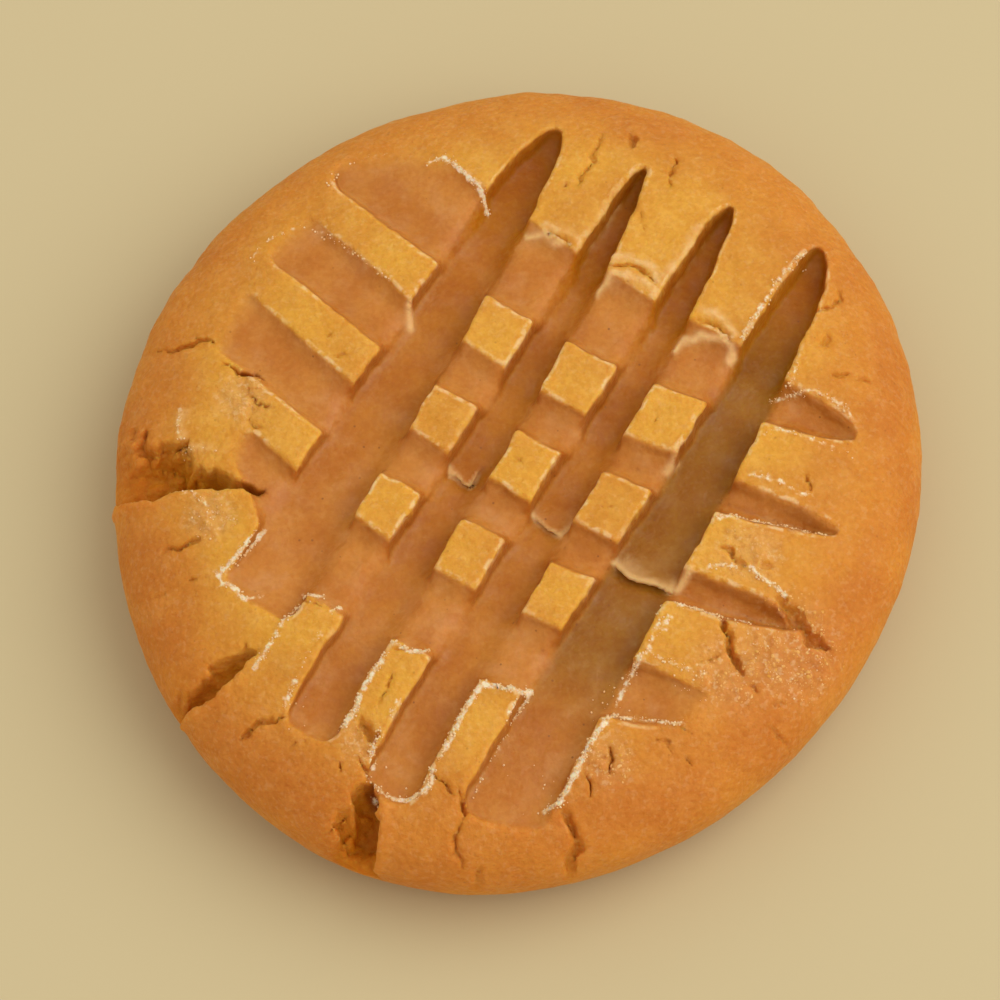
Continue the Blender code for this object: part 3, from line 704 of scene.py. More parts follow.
def corner_field(aside, beyond, radius):
    """Two faces that meet in a round corner. Both distances already have the radius added."""
    away = np.hypot(np.maximum(aside, 0.0), np.maximum(beyond, 0.0))
    return away + np.minimum(np.maximum(aside, beyond), 0.0) - radius


def sideways_shift(press, along):
    """How far a tine's middle line has moved to the right."""
    share = along / press.half_length
    return press.bow * share ** 2 + press.tip_drift * np.maximum(0.0, share) ** 2


def end_fade(distance, run):
    """From 0 at the end of a groove to 1, along a quarter of a circle."""
    share = np.clip(distance / run, 0.0, 1.0)
    return np.sqrt(1.0 - (1.0 - share) ** 2)


def groove_depth(press, index, along):
    """Depth of a groove's floor below the crown, at a distance along the tine."""
    start = press.starts[index]
    stop = press.stops[index]
    share = (along - start) / (stop - start)
    depth = np.interp(share, (0.0, 0.5, 1.0), press.depths)
    power = press.tip_powers[index]
    tip_run = press.tip_run if power == 1.0 else SOFT_TIP_RUN
    fade = end_fade(along - start, press.heel_run) * end_fade(stop - along, tip_run) ** power
    return depth * fade - END_LIFT * (1.0 - fade)


def tine_width_share(share):
    """Width of a tine from its heel (0) to its tip (1), as a share of the middle's width."""
    share = np.clip(share, 0.0, 1.0)
    taper = HEEL_WIDENING + (TIP_NARROWING - HEEL_WIDENING) * share
    return np.maximum(TIP_LEAST_SHARE, taper * np.sqrt(1.0 - share ** TIP_CLOSING_POWER))


class Groove(NamedTuple):
    """What a groove needs of each place of the footprint."""
    edge: np.ndarray           # distance from its outline at the crown, negative inside
    along: np.ndarray          # along the tine
    floor: np.ndarray          # height of its floor
    draft: np.ndarray
    corner: np.ndarray
    edge_round: float
    saddle: np.ndarray         # height of what an earlier press has left there
    lean: float                # how much further its walls lean below that height


def plan_groove(press, index, x, y, trench):
    """One groove, with its floor lower by the trench."""
    along, right = press_frame(press, x, y)
    start = press.starts[index]
    stop = press.stops[index]
    offset = (index - (TINES - 1) / 2.0) * press.pitch
    share = (along - start) / (stop - start)
    lateral = right - offset - sideways_shift(press, along)
    on_right = lateral > 0.0
    left_reach = press.outer_reach if index == 0 else press.inner_reach
    right_reach = press.outer_reach if index == TINES - 1 else press.inner_reach
    waist = press.left_waist + (1.0 - press.left_waist) * np.minimum(1.0, (along / press.half_length) ** 2)
    left_reach = left_reach if index == 0 else left_reach * waist
    kept = press.tip_shares[index]
    left_reach = left_reach * (kept + (1.0 - kept) * ramp(*TIP_SHARE_SPAN, along))
    kept = press.heel_shares[index]
    right_reach = right_reach * (kept + (1.0 - kept) * ramp(*HEEL_SHARE_SPAN, along))
    reach = np.where(on_right, right_reach, left_reach)
    width = tine_width_share(share)
    step = 0.01
    narrowing = (tine_width_share(share + step) - width) / (step * (stop - start)) * reach
    aside = (np.abs(lateral) - reach * width) / np.sqrt(1.0 + narrowing ** 2)
    beyond = np.maximum(start - along, along - stop)
    corner = press.heel_round * np.minimum(1.0, width)

    held = np.clip(along, start, stop)
    middle = press_place(press, held, offset + sideways_shift(press, held))
    depth = groove_depth(press, index, held)
    within = np.clip(lateral, -reach, reach)
    tilt = press.floor_tilt * within * ramp(*TILT_DEPTHS, depth)
    corner_round = np.where(on_right, press.corners[1], press.corners[0]) * np.minimum(1.0, width)
    return Groove(
        edge=corner_field(aside + corner, beyond + corner, corner),
        along=along,
        floor=crown_height(*middle) - depth - tilt - trench,
        draft=np.where(on_right, press.drafts[1], press.drafts[0]),
        corner=np.minimum(corner_round, np.maximum(CORNER_SHARE * depth, LEAST_CORNER)),
        edge_round=press.edge_round,
        saddle=crown_height(x, y),
        lean=0.0,
    )


def groove_field(groove, crown, z):
    """Negative inside the space that a tine has pressed out."""
    aside = groove.edge + groove.draft * np.maximum(crown - z, 0.0) + groove.corner
    aside = aside + groove.lean * np.maximum(groove.saddle - z, 0.0)
    return corner_field(aside, groove.floor - z + groove.corner, groove.corner)


# Cracks

def follow(points, x, y):
    """Share of a line's length at its nearest place, and the distance from it: left positive."""
    runs = [math.dist(near, far) for near, far in zip(points, points[1:])]
    gap = np.full(np.broadcast(x, y).shape, np.inf)
    share = np.zeros_like(gap)
    aside = np.zeros_like(gap)
    done = 0.0
    for (near_x, near_y), (far_x, far_y), run in zip(points, points[1:], runs):
        unit_x = (far_x - near_x) / run
        unit_y = (far_y - near_y) / run
        east = x - near_x
        north = y - near_y
        reached = np.clip(east * unit_x + north * unit_y, 0.0, run)
        away = np.hypot(east - reached * unit_x, north - reached * unit_y)
        nearer = away < gap
        gap = np.where(nearer, away, gap)
        share = np.where(nearer, (done + reached) / sum(runs), share)
        aside = np.where(nearer, np.copysign(away, unit_x * north - unit_y * east), aside)
        done += run
    return share, aside


class GapPlan(NamedTuple):
    """What a gap needs of each place of the footprint."""
    aside: np.ndarray          # from the sheer edge, positive on the sloping side
    width: np.ndarray
    depth: np.ndarray
    gap: Gap


def plan_gap(gap, x, y):
    """Its width and its depth follow the straight line from its first point to its last."""
    aside = follow(gap.points, x, y)[1]
    (near_x, near_y), (far_x, far_y) = gap.points[0], gap.points[-1]
    run_x = far_x - near_x
    run_y = far_y - near_y
    share = ((x - near_x) * run_x + (y - near_y) * run_y) / (run_x ** 2 + run_y ** 2)
    share = np.clip(share, 0.0, 1.0)
    ragged = 1.0 + GAP_RAGGEDNESS * wavers(GAP_RAGS, x, y)
    width = np.interp(share, gap.shares, gap.widths) * ragged
    depth = np.interp(share, gap.shares, gap.depths)
    return GapPlan(aside * gap.side, width, depth, gap)


def gap_field(plan, crown, z):
    """Negative inside the split."""
    below = np.maximum(crown - z, 0.0)
    behind = -(plan.aside + plan.gap.undercut * below)
    hollow = 1.0 - np.clip(plan.aside / plan.width, 0.0, 1.0) ** plan.gap.slope
    runout = GAP_RUNOUT * np.maximum(plan.aside - plan.width, 0.0)
    floor = crown - plan.depth * hollow + runout
    rise = np.minimum(plan.gap.slope * plan.depth / plan.width, STEEPEST_GAP)
    return np.maximum(behind, (floor - z) / np.sqrt(1.0 + rise ** 2))


class SlitPlan(NamedTuple):
    """What the nearest slit needs of each place of the footprint."""
    aside: np.ndarray          # from its middle line
    half: np.ndarray           # half of its width
    depth: np.ndarray


def plan_slits(x, y):
    """The nearest slit of each place."""
    shape = np.broadcast(x, y).shape
    nearest = np.full(shape, np.inf)
    aside = np.full(shape, np.inf)
    half = np.full(shape, SLIT_LEAST)
    depth = np.full(shape, SLIT_LEAST)
    coarse, fine = SLIT_RAG_SIZES
    rags = np.abs(waver(coarse, x + SLIT_RAGS_APART, y) + SLIT_FINE_RAG * waver(fine, x, y))
    ragged = 1.0 - SLIT_RAGGEDNESS / 2.0 + SLIT_RAGGEDNESS * rags
    for slit in SLITS:
        share, away = follow(slit.points, x, y)
        from_widest = np.abs(2.0 * share - 2.0 * SLIT_WIDEST).clip(0.0, 1.0)
        closing = (1.0 - from_widest ** SLIT_CLOSING_POWER) ** SLIT_CLOSING
        filling = SLIT_FILLING * slit.depth * np.maximum(closing, SLIT_LEAST_FILLING)
        own_half = np.maximum(slit.width / 2.0 * closing * ragged, SLIT_LEAST)
        away = np.abs(away)
        nearer = away - own_half < nearest
        nearest = np.where(nearer, away - own_half, nearest)
        aside = np.where(nearer, away, aside)
        half = np.where(nearer, own_half, half)
        depth = np.where(nearer, filling, depth)
    return SlitPlan(aside, half, depth)


def slit_field(plan, crown, z):
    """Negative inside the slit."""
    deep = np.clip((crown - z) / plan.depth, 0.0, 1.0)
    return np.maximum(plan.aside - plan.half * (1.0 - SLIT_TAPER * deep), crown - plan.depth - z)


# Folds

def plan_fold(fold, x, y):
    """Distance from a fold's outline, negative on the fold, and how far ahead of its edge a place is."""
    along, right = press_frame(SECOND_PRESS, x, y)
    ahead = follow(fold, right, along)[1]
    forward = along - fold_front(fold)
    sides = np.maximum(fold[0][0] - right, right - fold[-1][0])
    edge = np.maximum.reduce([-ahead, sides, forward - FOLD_LENGTH])
    return edge + FOLD_WAVER * wavers(FOLD_RAGS, x, y), forward


def fold_front(fold):
    """Mean distance along the tine of a fold's free edge."""
    return sum(along for _, along in fold) / len(fold)


def fold_trench(x, y):
    """How much lower the floor lies just in front of a fold."""
    trench = 0.0
    for fold in FOLDS:
        edge, forward = plan_fold(fold, x, y)
        front = ramp(*reversed(FOLD_BACK), forward)
        near = ramp(FOLD_TRENCH_RUN, 0.0, edge)
        trench = trench + FOLD_TRENCH * front * near * ramp(*FOLD_TRENCH_EDGE, edge)
    return trench


def fold_lip(x, y):
    """1 along the free edge of a fold, fading inward: where its light, partly a painted highlight, lies.
    """
    lip = 0.0
    for fold, width in zip(FOLDS, FOLD_LIP_WIDTHS):
        edge, forward = plan_fold(fold, x, y)
        front = ramp(*reversed(FOLD_BACK), forward)
        lip = np.maximum(lip, front * ramp(-width, FOLD_LIP_FRONT, edge) * ramp(*FOLD_LIP_END, edge))
    return lip


def fold_field(fold, lift, x, y, z):
    """A tongue that slopes down away from its free edge and grows thicker there."""
    edge, forward = plan_fold(fold, x, y)
    sideways = (fold[0][0] + fold[-1][0]) / 2.0
    front = press_place(SECOND_PRESS, fold_front(fold), sideways)
    floor = crown_height(*front) - SECOND_PRESS.depths[1]
    top = floor + lift - FOLD_TILT * forward
    growth = (FOLD_THICKNESS - FOLD_LIP_THICKNESS) * ramp(0.0, -FOLD_LIP_RUN, edge)
    bottom = top - (FOLD_LIP_THICKNESS + growth)
    return smooth_max(edge, np.maximum(z - top, bottom - z), FOLD_ROUND)


# The whole dough

class Plan(NamedTuple):
    """Everything that depends on the place in the footprint alone."""
    crown: np.ndarray
    burr: np.ndarray
    grooves: list
    gaps: list
    slits: SlitPlan


def crumbly_share(x, y):
    """1 where the dough is falling apart into crumbs."""
    crumbly = 0.0
    for east, north, radius in CRUMBLY_PLACES:
        near = ramp(radius, CRUMBLY_CORE * radius, np.hypot(x - east, y - north))
        crumbly = np.maximum(crumbly, near)
    return crumbly


def unpressed_relief(x, y):
    """Lumps of the dough that the fork hasn't smoothed, coarse where it crumbles."""
    height, size = COARSE_LUMPS
    coarse = height * np.abs(waver(size, x + LUMPS_APART, y))
    height, size = FINE_LUMPS
    coarse = coarse + height * waver(size, x, y) - LUMPS_SINK
    return wavers(UNPRESSED_LUMPS, x, y) + crumbly_share(x, y) * coarse


def raised_edges(grooves, gaps, crown, x, y):
    """Dough drawn up along the grooves and the gaps."""
    height, size = BURR_CHANGE
    strength = BURR_MEAN + height * waver(size, x, y)
    burr = 0.0
    for groove in grooves:
        depth = ramp(*BURR_DEPTHS, crown - groove.floor)
        burr = burr + strength * depth * np.exp(-((groove.edge - BURR_OFFSET) / BURR_WIDTH) ** 2)
    burr = BURR_HEIGHT * np.clip(burr, 0.0, BURR_LIMIT)
    for gap in gaps:
        lip = np.exp(-((gap.aside + LIP_OFFSET) / LIP_WIDTH) ** 2) * ramp(*LIP_DEPTHS, gap.depth)
        burr = burr + LIP_HEIGHT * lip
    return burr


def make_plan(x, y):
    """The grooves, gaps and slits as they lie at each place of the footprint."""
    crown = crown_height(x, y)
    trench = fold_trench(x, y)
    jag_x, jag_y = wandered(JAGS, JAGS_APART, x, y)
    wave_x, wave_y = wandered(WAVES, WAVES_APART, x, y)
    wave_x = x + wave_x
    wave_y = y + wave_y
    grooves = [plan_groove(FIRST_PRESS, i, wave_x, wave_y, 0.0) for i in range(TINES)]
    sunk = ramp(*SADDLE_SPAN, np.minimum.reduce([groove.edge for groove in grooves]))
    saddle = np.minimum.reduce([np.where(groove.edge < 0.0, groove.floor, crown) for groove in grooves])
    for index in range(TINES):
        groove = plan_groove(SECOND_PRESS, index, wave_x, wave_y, trench)
        edge_round = groove.edge_round + (SADDLE_ROUND - groove.edge_round) * sunk
        grooves.append(groove._replace(edge_round=edge_round, saddle=saddle, lean=SADDLE_LEAN * sunk))
    gaps = [plan_gap(gap, x + jag_x, y + jag_y) for gap in GAPS.values()]
    slits = plan_slits(x + jag_x, y + jag_y)
    burr = raised_edges(grooves, gaps, crown, x, y) + unpressed_relief(x, y)
    return Plan(crown, burr, grooves, gaps, slits)


def nearest_fold(x, y, z):
    """The least of the folds' fields."""
    return np.minimum.reduce([fold_field(fold, lift, x, y, z) for fold, lift in zip(FOLDS, FOLD_LIFTS)])


def nearest_crack(plan, z):
    """How deep a place lies inside the nearest gap or slit; negative outside them all."""
    cracks = [slit_field(plan.slits, plan.crown, z)]
    cracks += [gap_field(gap, plan.crown, z) for gap in plan.gaps]
    return -np.minimum.reduce(cracks)


def dough_field(plan, x, y, z):
    """Negative inside the dough."""
    field = body_field(x, y, z, plan.burr)
    for groove in plan.grooves:
        field = smooth_max(field, -groove_field(groove, plan.crown, z), groove.edge_round)
    for fold, lift in zip(FOLDS, FOLD_LIFTS):
        field = smooth_min(field, fold_field(fold, lift, x, y, z), FOLD_BLEND)
    for gap in plan.gaps:
        field = smooth_max(field, -gap_field(gap, plan.crown, z), GAP_BLEND)
    return smooth_max(field, -slit_field(plan.slits, plan.crown, z), SLIT_BLEND)


# Surface from the field

def grid_axes():
    """Places of the grid's planes along x, y and z."""
    low, high = CAD_BOUNDS
    return [
        np.arange(low[i] / MM - GRID_MARGIN, high[i] / MM + GRID_MARGIN, GRID_STEP)
        for i in range(3)
    ]


def surface_nets(field, axes):
    """Points and four-sided faces where the field is 0, with a point in each cell that it crosses."""
    inside = field < 0.0
    corners = [(i, j, k) for i in (0, 1) for j in (0, 1) for k in (0, 1)]
    cells = tuple(n - 1 for n in field.shape)
    count = np.zeros(cells, np.int8)
    for i, j, k in corners:
        count += inside[i:i + cells[0], j:j + cells[1], k:k + cells[2]]
    active = np.argwhere((count > 0) & (count < 8))
    number = np.full(cells, -1, np.int32)
    number[tuple(active.T)] = np.arange(len(active))

    values = {c: field[tuple((active + c).T)] for c in corners}
    total = np.zeros((len(active), 3))
    crossings = np.zeros(len(active))
    for start in corners:
        for axis in range(3):
            if start[axis]:
                continue
            stop = tuple(1 if n == axis else start[n] for n in range(3))
            near = values[start]
            far = values[stop]
            crossed = (near < 0.0) != (far < 0.0)
            share = np.where(crossed, near / np.where(crossed, near - far, 1.0), 0.0)
            place = np.array(start, float) + share[:, None] * (np.arange(3) == axis)
            total += place * crossed[:, None]
            crossings += crossed
    points = (active + total / crossings[:, None]) * GRID_STEP + np.array([a[0] for a in axes])

    faces = []
    for axis in range(3):
        low = [slice(1, -1)] * 3
        high = [slice(1, -1)] * 3
        low[axis] = slice(0, -1)
        high[axis] = slice(1, None)
        near = inside[tuple(low)]
        far = inside[tuple(high)]
        u = (axis + 1) % 3
        v = (axis + 2) % 3
        for outward in (True, False):
            edge = np.argwhere((near & ~far) if outward else (~near & far))
            cell = edge + 1
            cell[:, axis] -= 1
            ring = []
            for back_u, back_v in ((1, 1), (0, 1), (0, 0), (1, 0)):
                corner = cell.copy()
                corner[:, u] -= back_u
                corner[:, v] -= back_v
                ring.append(number[tuple(corner.T)])
            ring = np.stack(ring, 1)
            faces.append(ring if outward else ring[:, ::-1])
    return points, np.concatenate(faces)


def lay_on_surface(points):
    """Moves the points to where the field is 0, along its slope, and gives the outward directions."""
    step = LAYING_STEP
    for turn in range(LAYING_ROUNDS + 1):
        x, y, z = points.T
        plan = make_plan(x, y)
        value = dough_field(plan, x, y, z)
        slope = np.empty_like(points)
        slope[:, 2] = (dough_field(plan, x, y, z + step) - value) / step
        slope[:, 0] = (dough_field(make_plan(x + step, y), x + step, y, z) - value) / step
        slope[:, 1] = (dough_field(make_plan(x, y + step), x, y + step, z) - value) / step
        size = np.maximum(np.sum(slope * slope, 1), LEAST_SLOPE_SQUARED)
        if turn < LAYING_ROUNDS:
            move = -(value / size)[:, None] * slope
            length = np.linalg.norm(move, axis=1)
            move *= np.minimum(1.0, LAYING_LIMIT / np.maximum(length, NEARLY_NOTHING))[:, None]
            points = points + move
    return points, slope / np.sqrt(size)[:, None]


def new_mesh(name, points, faces):
    mesh = bpy.data.meshes.new(name)
    sides = faces.shape[1]
    mesh.vertices.add(len(points))
    mesh.vertices.foreach_set("co", (points * MM).astype(np.float32).ravel())
    mesh.loops.add(faces.size)
    mesh.loops.foreach_set("vertex_index", faces.astype(np.int32).ravel())
    mesh.polygons.add(len(faces))
    mesh.polygons.foreach_set("loop_start", np.arange(0, faces.size, sides, dtype=np.int32))
    mesh.update(calc_edges=True)
    return mesh


def new_object(name, mesh):
    obj = bpy.data.objects.new(name, mesh)
    bpy.context.scene.collection.objects.link(obj)
    return obj


def thinned(points, faces):
    """The surface as triangles, few where it is plain and many where it is detailed."""
    draft = new_object("draft", new_mesh("draft", points, faces))
    modifier = draft.modifiers.new("thin", "DECIMATE")
    modifier.ratio = min(1.0, TARGET_TRIANGLES / (2.0 * len(faces)))
    evaluated = draft.evaluated_get(bpy.context.evaluated_depsgraph_get())
    mesh = bpy.data.meshes.new_from_object(evaluated)
    bpy.data.objects.remove(draft)
    return mesh


def read_vectors(mesh, name):
    """The places ("co") or the directions ("normal") of a mesh's points."""
    values = np.empty(len(mesh.vertices) * 3)
    mesh.vertices.foreach_get(name, values)
    return values.reshape(-1, 3)


def mesh_points(mesh):
    return read_vectors(mesh, "co") / MM


def read_attribute(mesh, name):
    values = np.empty(len(mesh.vertices))
    mesh.attributes[name].data.foreach_get("value", values)
    return values


def set_attribute(mesh, name, values):
    attribute = mesh.attributes.new(name, "FLOAT", "POINT")
    attribute.data.foreach_set("value", np.ascontiguousarray(values, np.float32))


def line_share(lines, reach, x, y):
    """The lines' strength on their middles, fading out beside them."""
    share = np.zeros(len(x))
    for strength, line in lines:
        share = np.maximum(share, strength * np.exp(-(follow(line, x, y)[1] / reach) ** 2))
    return share


def ridge_share(x, y):
    """How far a place lies up on the light ridges, which come and go along their way."""
    reach, size = RIDGE_WAVER
    east = x + reach * waver(size, x, y)
    north = y + reach * waver(size, x + RIDGES_APART, y)
    change, size = RIDGE_BREAKS
    kept = np.clip(RIDGE_MEAN + change * waver(size, x, y), 0.0, 1.0)
    return line_share(RIDGES, RIDGE_REACH, east, north) * kept


def tail_share(x, y):
    """How far a place lies up on the light tails."""
    return line_share(TAILS, TAIL_REACH, x, y)


def pressed_share(plan, z):
    """1 where a tine has smoothed the dough, on a groove's floor and its walls."""
    shares = []
    for groove in plan.grooves:
        inside = ramp(*PRESSED_EDGE, groove.edge)
        wall = ramp(*WALL_EDGE, groove.edge) * ramp(*WALL_DEPTHS, plan.crown - z)
        shares.append(np.maximum(inside, wall) * ramp(*PRESSED_DEPTHS, plan.crown - groove.floor))
    return np.maximum.reduce(shares)


def cracked_share(plan, z):
    """1 deep in a crack, less in a shallow one."""
    dark = CRACK_LEAST + (1.0 - CRACK_LEAST) * ramp(*CRACK_DEPTHS, plan.crown - z)
    return ramp(*CRACK_EDGE, nearest_crack(plan, z)) * dark


def tip_shade_share(plan):
    """1 at the tips of the second press's grooves, which are painted darker as shade."""
    shares = []
    for groove in plan.grooves[TINES:]:
        shares.append(ramp(*WALL_EDGE, groove.edge) * ramp(*TIP_SHADE_SPAN, groove.along))
    return np.max(shares, axis=0)


def last_groove_shade_share(groove):
    """1 on the floor of the last tine's groove, away from its ends, where shade is painted."""
    middle = ramp(*LAST_GROOVE_SHADE_HEEL, groove.along) * ramp(*LAST_GROOVE_SHADE_TIP, groove.along)
    return middle * ramp(*LAST_GROOVE_SHADE_EDGE, groove.edge)


def rim_highlight_share(plan, edges):
    """1 beside a deep groove, where its edge gets a light rim, partly a painted highlight; 0 beside one
    that has faded out.
    """
    nearest = np.argmin(np.abs(edges), axis=0)[None]
    depths = np.array([plan.crown - groove.floor for groove in plan.grooves])
    return ramp(*RIM_HIGHLIGHT_DEPTHS, np.take_along_axis(depths, nearest, axis=0)[0])


def flank_share(x, y):
    """1 on the cookie's sides."""
    turned = np.maximum(0.0, np.cos(np.arctan2(y, x) - SIDE_TURN))
    start, stop = FLANK_SHARES
    return ramp(start - SIDE_REACH * turned, stop, waist_share(x, y)[0])


def dough_surface():
    """A mesh of the field's surface, its points, their outward directions and their plan."""
    axes = grid_axes()
    x = axes[0][:, None, None].astype(np.float32)
    y = axes[1][None, :, None].astype(np.float32)
    z = axes[2][None, None, :].astype(np.float32)
    field = dough_field(make_plan(x, y), x, y, z).astype(np.float32)
    mesh = thinned(*surface_nets(field, axes))
    points, outward = lay_on_surface(mesh_points(mesh))
    return mesh, points, outward, make_plan(points[:, 0], points[:, 1])


def make_dough():
    """The dough's surface, with the attributes that its material reads."""
    mesh, points, outward, plan = dough_surface()
    x, y, z = points.T
    edges = np.array([groove.edge for groove in plan.grooves])
    upward = ramp(*UPWARD_SLOPES, outward[:, 2])
    pressed = pressed_share(plan, z)
    cracked = cracked_share(plan, z)
    # painted shade at the tips of the second press's grooves
    tip_shade = tip_shade_share(plan)
    # white grains along edges: partly dried dough, partly painted highlight
    crust_and_glint = CRUST_GLINT_STRENGTH * line_share(CRUST_GLINT_LINES, CRUST_GLINT_REACH, x, y) * upward
    # light tails and ridges on upward faces: partly painted highlight
    light = np.maximum(tail_share(x, y), ridge_share(x, y)) * upward
    light = np.minimum(LIGHT_SHARE * light, LIGHT_LIMIT)
    lip = fold_lip(x, y) * ramp(*FOLDED_SPAN, np.abs(nearest_fold(x, y, z)))
    looks = {
        "pressed": pressed,
        "cracked": cracked,
        "depth": np.maximum(plan.crown - z, 0.0),
        "edge": np.clip(edges.min(axis=0), -FARTHEST_EDGE, FARTHEST_EDGE),
        "flank": flank_share(x, y),
        "crust_and_glint": crust_and_glint,
        "lip": np.maximum(FOLD_LIP_SHARE * lip, light),
        "crumbly": crumbly_share(x, y) * upward,
        "rim_highlight": rim_highlight_share(plan, edges) * (1.0 - TIP_SHADE_RIM * tip_shade),
        "tip_shade": tip_shade,
        # painted shade on the grooves' steep walls, none at the tips
        "wall": pressed * ramp(*WALL_SLOPES, outward[:, 2]) * (1.0 - tip_shade),
        # painted shade on the last groove's floor
        "last_groove_shade": last_groove_shade_share(plan.grooves[-1]),
    }
    points = points + outward * roughness_of_dough(points, pressed, cracked, crust_and_glint)[:, None]
    points[:, 2] = np.maximum(points[:, 2], 0.0)
    mesh.vertices.foreach_set("co", (points * MM).astype(np.float32).ravel())
    for name, values in looks.items():
        set_attribute(mesh, name, values)
    mesh.shade_smooth()
    mesh.update()
    return new_object("cookie_dough", mesh)


def roughness_of_dough(points, pressed, cracked, crust_and_glint):
    """How far the surface stands out from the field: slow waves, grain, lumps and dried dough."""
    x, y, z = points.T
    slow = wavers(SLOW_WAVES, x, y, z) * (1.0 - PRESSED_CALM * pressed)
    height, size = CRACK_LUMPS
    lumps = height * np.abs(waver(size, x, y, z))
    height, size = CRACK_CRUMBS
    lumps = lumps + height * waver(size, x, y, z)
    height, size = CRUST_HEIGHT
    crust = height * crust_and_glint * np.maximum(waver(size, x, y, z) + CRUST_SHARE, 0.0)
    crust = crust + TAIL_HEIGHT * tail_share(x, y) + RIDGE_HEIGHT * ridge_share(x, y)
    return ramp(*STILL_BASE, z) * (slow + wavers(FINE_GRAIN, x, y, z) + lumps * cracked + crust)


# Grains and crumbs

class Scattered(NamedTuple):
    """Places drawn at random from the dough's points, and the small pieces' shape and sizes."""
    places: np.ndarray
    upright: np.ndarray        # outward directions there
    shape: np.ndarray          # points of a ball of diameter 1
    sides: np.ndarray          # its triangles
    sizes: np.ndarray


def scatter(random, dough, chosen, subdivisions, sizes, power):
    """Draws the sizes of the pieces that lie at the chosen points of the dough."""
    ball = bmesh.new()
    bmesh.ops.create_icosphere(ball, subdivisions=subdivisions, radius=0.5)
    shape = np.array([vert.co[:] for vert in ball.verts])
    sides = np.array([[vert.index for vert in face.verts] for face in ball.faces])
    ball.free()
    small, large = sizes
    size = small + (large - small) * random.uniform(0.0, 1.0, (len(chosen), 1, 1)) ** power
    return Scattered(mesh_points(dough)[chosen], read_vectors(dough, "normal")[chosen], shape, sides, size)


def join_pieces(name, random, scattered, points, lift):
    """One object of all the pieces, each shifted a little along the dough's surface."""
    upright = scattered.upright
    shift = random.uniform(-SCATTER, SCATTER, upright.shape)
    shift = shift - upright * np.sum(shift * upright, 1)[:, None]
    points = points + (scattered.places + shift)[:, None, :] + lift * scattered.sizes * upright[:, None, :]
    firsts = len(scattered.shape) * np.arange(len(upright))
    faces = scattered.sides[None] + firsts[:, None, None]
    joined = new_object(name, new_mesh(name, points.reshape(-1, 3), faces.reshape(-1, 3)))
    joined.data.shade_smooth()
    return joined


def make_grains(dough):
    """Small loose grains where `crust_and_glint` is high, and a few on the sprinkled places."""
    random = np.random.RandomState(SEED)
    x, y, _ = mesh_points(dough).T
    level = read_vectors(dough, "normal")[:, 2] > SPRINKLED_SLOPE
    odds = read_attribute(dough, "crust_and_glint") ** 2
    for east, north, radius in SPRINKLED_PLACES:
        odds = odds + SPRINKLED_ODDS * (np.hypot(x - east, y - north) < radius) * level
    chosen = random.choice(len(odds), GRAINS, p=odds / odds.sum())
    scattered = scatter(random, dough, chosen, 1, GRAIN_SIZES, GRAIN_SIZE_POWER)
    stretch = random.uniform(*GRAIN_STRETCH, (GRAINS, len(scattered.shape), 1))
    points = scattered.shape * scattered.sizes * stretch
    return join_pieces("cookie_grains", random, scattered, points, GRAIN_LIFT)


def make_crumbs(dough):
    """Flakes and crumbs of dough, half sunk where the dough crumbles."""
    random = np.random.RandomState(SEED + 1)
    raw = 1.0 - read_attribute(dough, "pressed")
    whole = 1.0 - read_attribute(dough, "cracked")
    odds = read_attribute(dough, "crumbly") ** 2 * raw * whole ** 3
    chosen = random.choice(len(odds), CRUMBS, replace=False, p=odds / odds.sum())
    scattered = scatter(random, dough, chosen, 2, CRUMB_SIZES, CRUMB_SIZE_POWER)
    height, size = CRUMB_BUMPS
    apart = CRUMBS_APART * np.arange(CRUMBS)[:, None, None]
    bumps = 1.0 + height * waver(size, *(scattered.shape[None] + apart).transpose(2, 0, 1))
    stretch = random.uniform(*CRUMB_STRETCH, (CRUMBS, 1, 3))
    points = scattered.shape * scattered.sizes * bumps[:, :, None] * stretch
    upright = scattered.upright[:, None, :]
    flat = np.sum(points * upright, 2)[:, :, None]
    points = points - CRUMB_FLATNESS * flat * upright
    return join_pieces("cookie_crumbs", random, scattered, points, -CRUMB_SINK)


# Material

